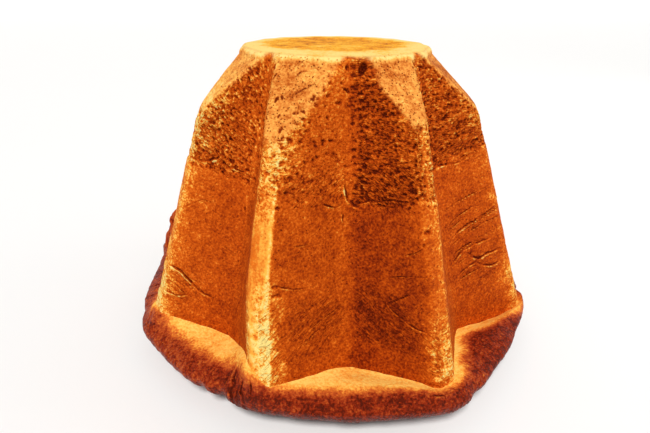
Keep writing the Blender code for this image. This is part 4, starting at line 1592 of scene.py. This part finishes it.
# %% [markdown]
# ## The crust's finish
#
# The crust is baked furthest: red-brown with a dull shine, and pale only on its shelf. It could be two
# materials with a border, but the real one fades from one to the other, so it is one ramp again and the
# darkness that was written on the mesh moves along it.

# %% Bake, colour and bumps of the crust
crust_finish = Finish("dark_crust")
where = crust_finish.place()
mottle = crust_finish.speckle(where, 0.014, 4.0) - 0.5
grainy_mix = crust_finish.speckle(where, 0.0034, 3.0) - 0.5
fine = crust_finish.speckle(where, 0.0012, 3.0, 0.65) - 0.5
dark = crust_finish.trait("darkness")
furrow, lip = crust_finish.furrow()
glints = crust_finish.dots(where, 0.0016, 0.00042, 0.55) * dark
# Its brown trait also holds painted shade towards the underside; furrows add painted shade, and lips and
# glints add a painted highlight.
bake = crust_finish.trait("brown") + mottle * 0.40 + (grainy_mix * 0.55 + fine * 1.15) * (dark * 0.3 + 0.7)
bake = bake + crust_finish.trait("shade") + furrow * 0.24 - lip * 0.12 - glints * 0.20
bumps = (fine * 2.2 + grainy_mix * 1.2) * (dark * 0.65 + 0.35) + glints * 0.5 - furrow * 1.2 + lip * 0.6
colour = crust_finish.ramp(CRUST_BAKE, bake)
crust_finish.wear(colour, roughness=0.72 - dark * 0.38, shine=0.12, tint=(1.0, 0.64, 0.46),
                  bumps=bumps, strength=0.9, distance=0.0009)

# %% Join each piece to the cake
for piece in pieces:
    finish = crust_finish if piece.name.startswith("crust") else crumb
    piece.data.materials.append(finish.material)
    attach(piece, "root")
    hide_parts("pandoro")
print("pieces on the root body:", [piece.name for piece in pieces])

# %% [markdown]
# ## The studio
#
# A pale sweep of board curves up behind the cake, and soft lamps stand round it. A flat floor and a wall
# would meet in a dark line, which the curve hides. The lamps are wide, because a wide lamp makes the soft
# shading that shows dough as dough.

# %% Floor
FLOOR_HALF_WIDTH = 8.0
FLOOR_FRONT = -6.0
SWEEP_BACK = 8.0
SWEEP_RADIUS = 3.0
WALL_HEIGHT = 6.0
SWEEP_STEPS = 12
BOARD_GREY = 0.84

profile = [(FLOOR_FRONT, 0.0), (SWEEP_BACK - SWEEP_RADIUS, 0.0)]
for step in range(1, SWEEP_STEPS + 1):
    angle = math.pi / 2.0 * step / SWEEP_STEPS
    profile.append((
        SWEEP_BACK - SWEEP_RADIUS + SWEEP_RADIUS * math.sin(angle),
        SWEEP_RADIUS * (1.0 - math.cos(angle)),
    ))
profile.append((SWEEP_BACK, WALL_HEIGHT))
corners = [(x, y, z) for x in (-FLOOR_HALF_WIDTH, FLOOR_HALF_WIDTH) for y, z in profile]
count = len(profile)
strips = [(n, n + count, n + count + 1, n + 1) for n in range(count - 1)]
floor_mesh = bpy.data.meshes.new("floor")
floor_mesh.from_pydata(corners, [], strips)
floor_mesh.shade_smooth()
floor = bpy.data.objects.new("floor", floor_mesh)
bpy.context.scene.collection.objects.link(floor)
board = Finish("pale_board")
board.feed(board.shader.inputs["Base Color"], (BOARD_GREY, BOARD_GREY, BOARD_GREY, 1.0))
board.feed(board.shader.inputs["Roughness"], 0.9)
floor_mesh.materials.append(board.material)
print("the floor has", len(strips), "strips")

# %% Lamps
SUN_FROM = (-0.16, -0.66, 1.12)
SUN_STRENGTH = 2.9
SUN_ANGLE = math.radians(16.0)
SIDE_LAMP_PLACE = (0.95, 0.05, 0.35)
SIDE_LAMP_WIDTH = 0.8
SIDE_LAMP_WATTS = 2.0
SKY_STRENGTH = 0.36
AIM = Vector((0.0, 0.0, 0.08))


def aim_lamp(data, spot):
    """Hangs a lamp at a spot, turned towards the cake."""
    lamp = bpy.data.objects.new(data.name, data)
    lamp.location = spot
    lamp.rotation_euler = (AIM - Vector(spot)).to_track_quat("-Z", "Y").to_euler()
    bpy.context.scene.collection.objects.link(lamp)


sun = bpy.data.lights.new("key", "SUN")
sun.energy = SUN_STRENGTH
sun.angle = SUN_ANGLE
sun.color = (1.0, 0.985, 0.96)
aim_lamp(sun, SUN_FROM)
side_lamp = bpy.data.lights.new("side", "AREA")
side_lamp.shape = "DISK"
side_lamp.size = SIDE_LAMP_WIDTH
side_lamp.energy = SIDE_LAMP_WATTS
aim_lamp(side_lamp, SIDE_LAMP_PLACE)
sky = bpy.data.worlds.new("soft_room")
sky.use_nodes = True
sky.node_tree.nodes["Background"].inputs["Color"].default_value = (1.0, 1.0, 1.0, 1.0)
sky.node_tree.nodes["Background"].inputs["Strength"].default_value = SKY_STRENGTH
bpy.context.scene.world = sky
bpy.context.scene.view_settings.view_transform = "Standard"
bpy.context.scene.view_settings.look = "None"
print("lamps:", sun.name, "and", side_lamp.name)
